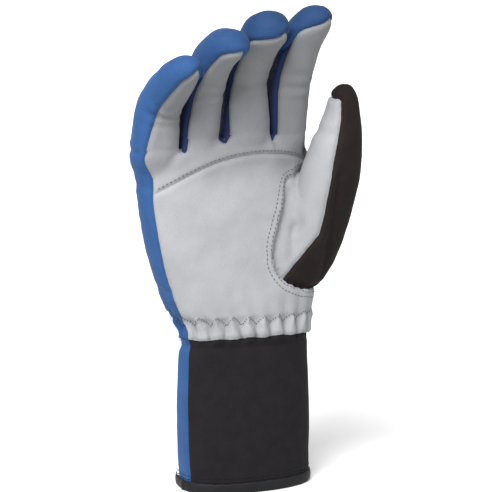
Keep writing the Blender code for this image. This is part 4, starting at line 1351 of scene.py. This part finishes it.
def make_stage():
    """A pale floor that sweeps up behind, and soft light from above and in front."""
    profile = [(-3.0, 0.0), (1.2, 0.0)]
    for k in range(1, 13):
        turn = k / 12 * math.pi / 2
        profile.append((1.2 + 1.2 * math.sin(turn), 1.2 - 1.2 * math.cos(turn)))
    profile.append((2.4, 4.0))
    turn = math.radians(VIEW_TURN)
    across = np.array((math.cos(turn), -math.sin(turn)))
    away = np.array((math.sin(turn), math.cos(turn)))
    verts, faces = [], []
    for depth, height in profile:
        for side in (-3.5, 3.5):
            x, y = away * depth + across * side
            verts.append((x, y, height))
    for k in range(len(profile) - 1):
        faces.append((2 * k, 2 * k + 1, 2 * k + 3, 2 * k + 2))
    mesh = bpy.data.meshes.new("floor")
    mesh.from_pydata(verts, [], faces)
    mesh.polygons.foreach_set("use_smooth", [True] * len(faces))
    mat = bpy.data.materials.new("floor")
    mat.use_nodes = True
    shader = mat.node_tree.nodes["Principled BSDF"]
    set_inputs(shader, {"Base Color": (0.62, 0.62, 0.62, 1), "Roughness": 0.95})
    set_inputs(shader, {"Specular IOR Level": 0.1, "Emission Strength": 0.12})
    shader.inputs["Emission Color"].default_value = (1, 1, 1, 1)
    mesh.materials.append(mat)
    obj = bpy.data.objects.new("floor", mesh)
    scene_objects.link(obj)
    sky = bpy.data.worlds.new("studio")
    sky.use_nodes = True
    set_inputs(sky.node_tree.nodes["Background"], {"Color": (1, 1, 1, 1), "Strength": 0.42})
    bpy.context.scene.world = sky

    def lamp(name, spot, aim, size, power):
        light = bpy.data.lights.new(name, "AREA")
        light.shape = "DISK"
        light.size = size
        light.energy = power
        obj = bpy.data.objects.new(name, light)
        scene_objects.link(obj)
        obj.location = spot
        obj.rotation_euler = (Vector(aim) - Vector(spot)).to_track_quat("-Z", "Y").to_euler()

    lamp("key", (-1.0, -0.95, 1.65), (0, 0, 0.15), 1.3, 90.0)
    lamp("fill", (0.9, -1.3, 1.2), (0, 0, 0.15), 1.0, 8.0)
    lamp("backdrop", (0.4, 1.0, 1.8), (0.9, 2.2, 0.9), 1.2, 50.0)


def make_camera():
    """Looks at the middle of the glove from a little left of the palm and slightly above."""
    turn, lift = math.radians(VIEW_TURN), math.radians(VIEW_LIFT)
    aim = np.array((0.0, 0.0, 145.0))
    back = np.array(
        (-math.sin(turn) * math.cos(lift), -math.cos(turn) * math.cos(lift), math.sin(lift))
    )
    spot = world([aim + back * VIEW_DISTANCE])[0]
    data = bpy.data.cameras.new("camera")
    obj = bpy.data.objects.new("camera", data)
    scene_objects.link(obj)
    obj.location = spot
    obj.rotation_euler = Vector(-back).to_track_quat("-Z", "Y").to_euler()
    data.sensor_width = SENSOR
    data.lens = SENSOR * VIEW_DISTANCE / VIEW_WIDTH
    data.shift_x = VIEW_SHIFT
    data.clip_end = 20.0
    bpy.context.scene.camera = obj
    bpy.context.scene.view_settings.view_transform = "Standard"


def surface_tree(points, tris):
    return BVHTree.FromPolygons(points.tolist(), tris.tolist())


def skin_at(tree, phi, z, centre=(0.6, 0.0)):
    """Point and outward normal of the skin at a bearing round the hand."""
    c, s = oval(np.array(phi), HAND_N)
    way = Vector((WRIST_HALF[0] * float(c), -WRIST_HALF[1] * float(s), 0.0)).normalized()
    start = Vector((centre[0], centre[1], z)) + way * 90
    spot, normal, _, _ = tree.ray_cast(start, -way)
    return np.array(spot), np.array(normal)


def wrist_bearing(count):
    """Bearing at which the wrist has been gone round by so many teeth."""
    return float(np.interp(count % TEETH, WRIST_COUNT, WRIST_BEARING))


def hem_ring():
    """Folded tape round the lower edge: up the outside, round the bottom, up the inside."""
    outside = [(1.0 + 0.35 * math.sin(t * math.pi), 0.9 + 5.3 * t) for t in np.linspace(0, 1, 7)]
    bottom = [(-0.4 + 1.4 * math.cos(a), 0.85 + 0.85 * math.sin(a)) for a in np.linspace(0, -math.pi, 7)[1:]]
    inside = [(-1.9, 1.5), (-2.0, 5.6), (-1.3, 6.0), (0.2, 6.4)]
    profile = outside[::-1] + bottom + inside
    around = np.linspace(0, 2 * math.pi, 200, endpoint=False)
    c, s = oval(around, HAND_N)
    _, centre, half_x, _, half_y = HAND_STATIONS[0]
    rings = []
    for out, z in profile:
        ring = []
        for k, turn in enumerate(around):
            wave = 0.05 * math.sin(turn * 23) + 0.08 * math.sin(turn * 9 + 1)
            lap = 0.6 * math.exp(-((math.degrees(turn) - 172.0) / 3.0) ** 2) if out > 0.3 else 0.0
            outwards = out + lap + wave * (out > 0)
            x = centre + (half_x + outwards) * c[k]
            y = -(half_y + outwards) * s[k]
            ring.append((x, y, z + (0.15 * math.sin(turn * 31) if z > 5 else 0.0)))
        rings.append(np.array(ring))
    n, m = len(around), len(rings)
    faces = []
    for r in range(m):
        for k in range(n):
            a, b = r * n + k, r * n + (k + 1) % n
            c0, d = ((r + 1) % m) * n + (k + 1) % n, ((r + 1) % m) * n + k
            faces.append((a, d, c0, b))
    return make_object("hem_tape", np.concatenate(rings), faces, "binding")


def stitch(start, end, normal, radius, sink):
    """One stitch: a short rounded thread that dips into the cloth at both ends."""
    way = end - start
    length = np.linalg.norm(way)
    way = way / max(length, 1e-6)
    side = np.cross(way, normal)
    side /= max(np.linalg.norm(side), 1e-6)
    up = np.cross(side, way)
    rings = []
    for t, wide in ((0.0, 0.45), (0.15, 0.85), (0.5, 1.0), (0.85, 0.85), (1.0, 0.45)):
        lift = radius * 0.55 - sink * (2 * t - 1) ** 4
        centre = start + way * length * t + up * lift
        for k in range(6):
            a = k / 6 * 2 * math.pi
            rings.append(centre + (side * math.cos(a) + up * math.sin(a)) * radius * wide)
    faces = []
    for r in range(4):
        for k in range(6):
            a, b = r * 6 + k, r * 6 + (k + 1) % 6
            faces.append((a, a + 6, b + 6, b))
    faces.append(tuple(range(6)))
    faces.append(tuple(range(29, 23, -1)))
    return rings, faces


def sew(name, paths, material, pitch, length, radius=0.3, sink=0.45):
    """All the stitches along some paths of (points, normals), as one piece."""
    verts, faces = [], []
    for path, normals in paths:
        steps = np.linalg.norm(np.diff(path, axis=0), axis=1)
        at = np.concatenate([[0.0], np.cumsum(steps)])
        if at[-1] < pitch:
            continue
        count = max(int(at[-1] / pitch), 1)
        for k in range(count):
            t0 = (k + 0.5 - 0.5 * length / pitch) * at[-1] / count
            t1 = t0 + length * at[-1] / count / pitch
            mid = (t0 + t1) / 2
            pick = [np.array([np.interp(t, at, path[:, c]) for c in range(3)]) for t in (t0, t1)]
            normal = np.array([np.interp(mid, at, normals[:, c]) for c in range(3)])
            rings, quads = stitch(pick[0], pick[1], normal, radius, sink)
            base = len(verts)
            verts += rings
            faces += [tuple(base + v for v in f) for f in quads]
    return make_object(name, np.array(verts), faces, material)


def level_lines(points, normals, tris, value, level):
    """Chains of the line value = level over some triangles, with the normals along them."""
    links, spots = {}, {}
    vals = value - level
    sign = vals[tris] > 0
    crossing = tris[(sign.sum(1) > 0) & (sign.sum(1) < 3)]
    for tri in crossing.tolist():
        ends = []
        for a, b in ((tri[0], tri[1]), (tri[1], tri[2]), (tri[2], tri[0])):
            if (vals[a] > 0) != (vals[b] > 0):
                key = (min(a, b), max(a, b))
                if key not in spots:
                    t = vals[a] / (vals[a] - vals[b])
                    normal = normals[a] * (1 - t) + normals[b] * t
                    spots[key] = (points[a] * (1 - t) + points[b] * t, normal)
                ends.append(key)
        if len(ends) == 2:
            links.setdefault(ends[0], []).append(ends[1])
            links.setdefault(ends[1], []).append(ends[0])
    chains, seen = [], set()
    starts = sorted(k for k in links if len(links[k]) == 1) + sorted(links)
    for start in starts:
        if start in seen:
            continue
        chain, here = [start], start
        seen.add(start)
        while True:
            ahead = [k for k in links[here] if k not in seen]
            if not ahead:
                break
            here = ahead[0]
            seen.add(here)
            chain.append(here)
        if len(chain) > 8:
            path = np.array([spots[k][0] for k in chain])
            way = np.array([spots[k][1] for k in chain])
            for _ in range(6):
                path[1:-1] = 0.5 * path[1:-1] + 0.25 * (path[:-2] + path[2:])
            chains.append((path, norm_rows(way)))
    return chains


def seam_rows(points, normals, tris, names, first, second, offsets):
    """Lines at set distances from the seam between two fabrics, on the first one's side."""
    fabrics = np.array([fabric_of(n) for n in names])
    one = np.unique(tris[np.isin(fabrics, first)])
    two = np.unique(tris[np.isin(fabrics, second)])
    shared = np.intersect1d(one, two)
    tree = KDTree(len(shared))
    for i, v in enumerate(shared):
        tree.insert(Vector(points[v]), i)
    tree.balance()
    mine = tris[np.isin(fabrics, first)]
    value = np.full(len(points), 99.0)
    for v in np.unique(mine):
        value[v] = tree.find(Vector(points[v]))[2]
    found = []
    for offset in offsets:
        found += level_lines(points, normals, mine, value, offset)
    return found


def zigzag(tree):
    """Points and normals of the zigzag stitch row round the wrist."""
    path, normals = [], []
    steps = 8
    for k in range(TEETH * 2 * steps + 1):
        count = k / (2 * steps)
        share = abs((count % 1.0) - 0.5) * 2
        z = ZIG_LOW + (ZIG_HIGH - ZIG_LOW) * share
        spot, normal = skin_at(tree, wrist_bearing(count), z)
        path.append(spot)
        normals.append(normal)
    return np.array(path), np.array(normals)


def hem_rows(tree):
    """Two stitch rows just above the hem tape."""
    rows = []
    for z in (7.4, 9.6):
        spots = [skin_at(tree, a, z) for a in np.linspace(0, 2 * math.pi, 220)]
        rows.append((np.array([p for p, _ in spots]), np.array([n for _, n in spots])))
    return rows


def add_details(points, normals, tris, names):
    """Hem tape and the rows of stitches."""
    tree = surface_tree(points, tris)
    hem = hem_ring()
    register(hem, "cuff", ["hem_binding"])
    row = sew("hem_stitch_rows", hem_rows(tree), "dark_thread", 2.6, 1.9, 0.28)
    register(row, "cuff")
    palm = seam_rows(points, normals, tris, names, ["upper"], ["palm_lower"], [2.1])
    row = sew("palm_seam_stitches", palm, "thread", 2.6, 1.7, 0.28)
    register(row, "hand", ["palm_seam_topstitch"])
    opening = seam_rows(
        points, normals, tris, names, ["palm_lower"], ["thumb_front", "thumb_back"], [2.3, 4.7]
    )
    row = sew("thumb_seam_stitches", opening, "thread", 2.6, 1.7, 0.28)
    register(row, "hand", ["thumb_seam_topstitch"])
    row = sew("wrist_zigzag_stitches", [zigzag(tree)], "thread", 1.75, 0.85, 0.36)
    register(row, None, ["wrist_zigzag_stitch"], motion_of("any_wrist")[1])


def main():
    make_camera()
    make_stage()
    points, flat, tris = build_skin()
    points, flat, tris = cut_everything(points, flat, tris)
    print("skin", len(points), len(tris))
    points, normals, tris, names, made = make_skin_pieces(points, flat, tris)
    add_details(points, normals, tris, names)
    shown = {"hem_binding", "palm_seam_topstitch", "thumb_seam_topstitch", "wrist_zigzag_stitch"}
    for name in made:
        shown.update(nodes_of(name))
    print("not replaced", sorted(set(frame["nodes"]) - shown))


main()
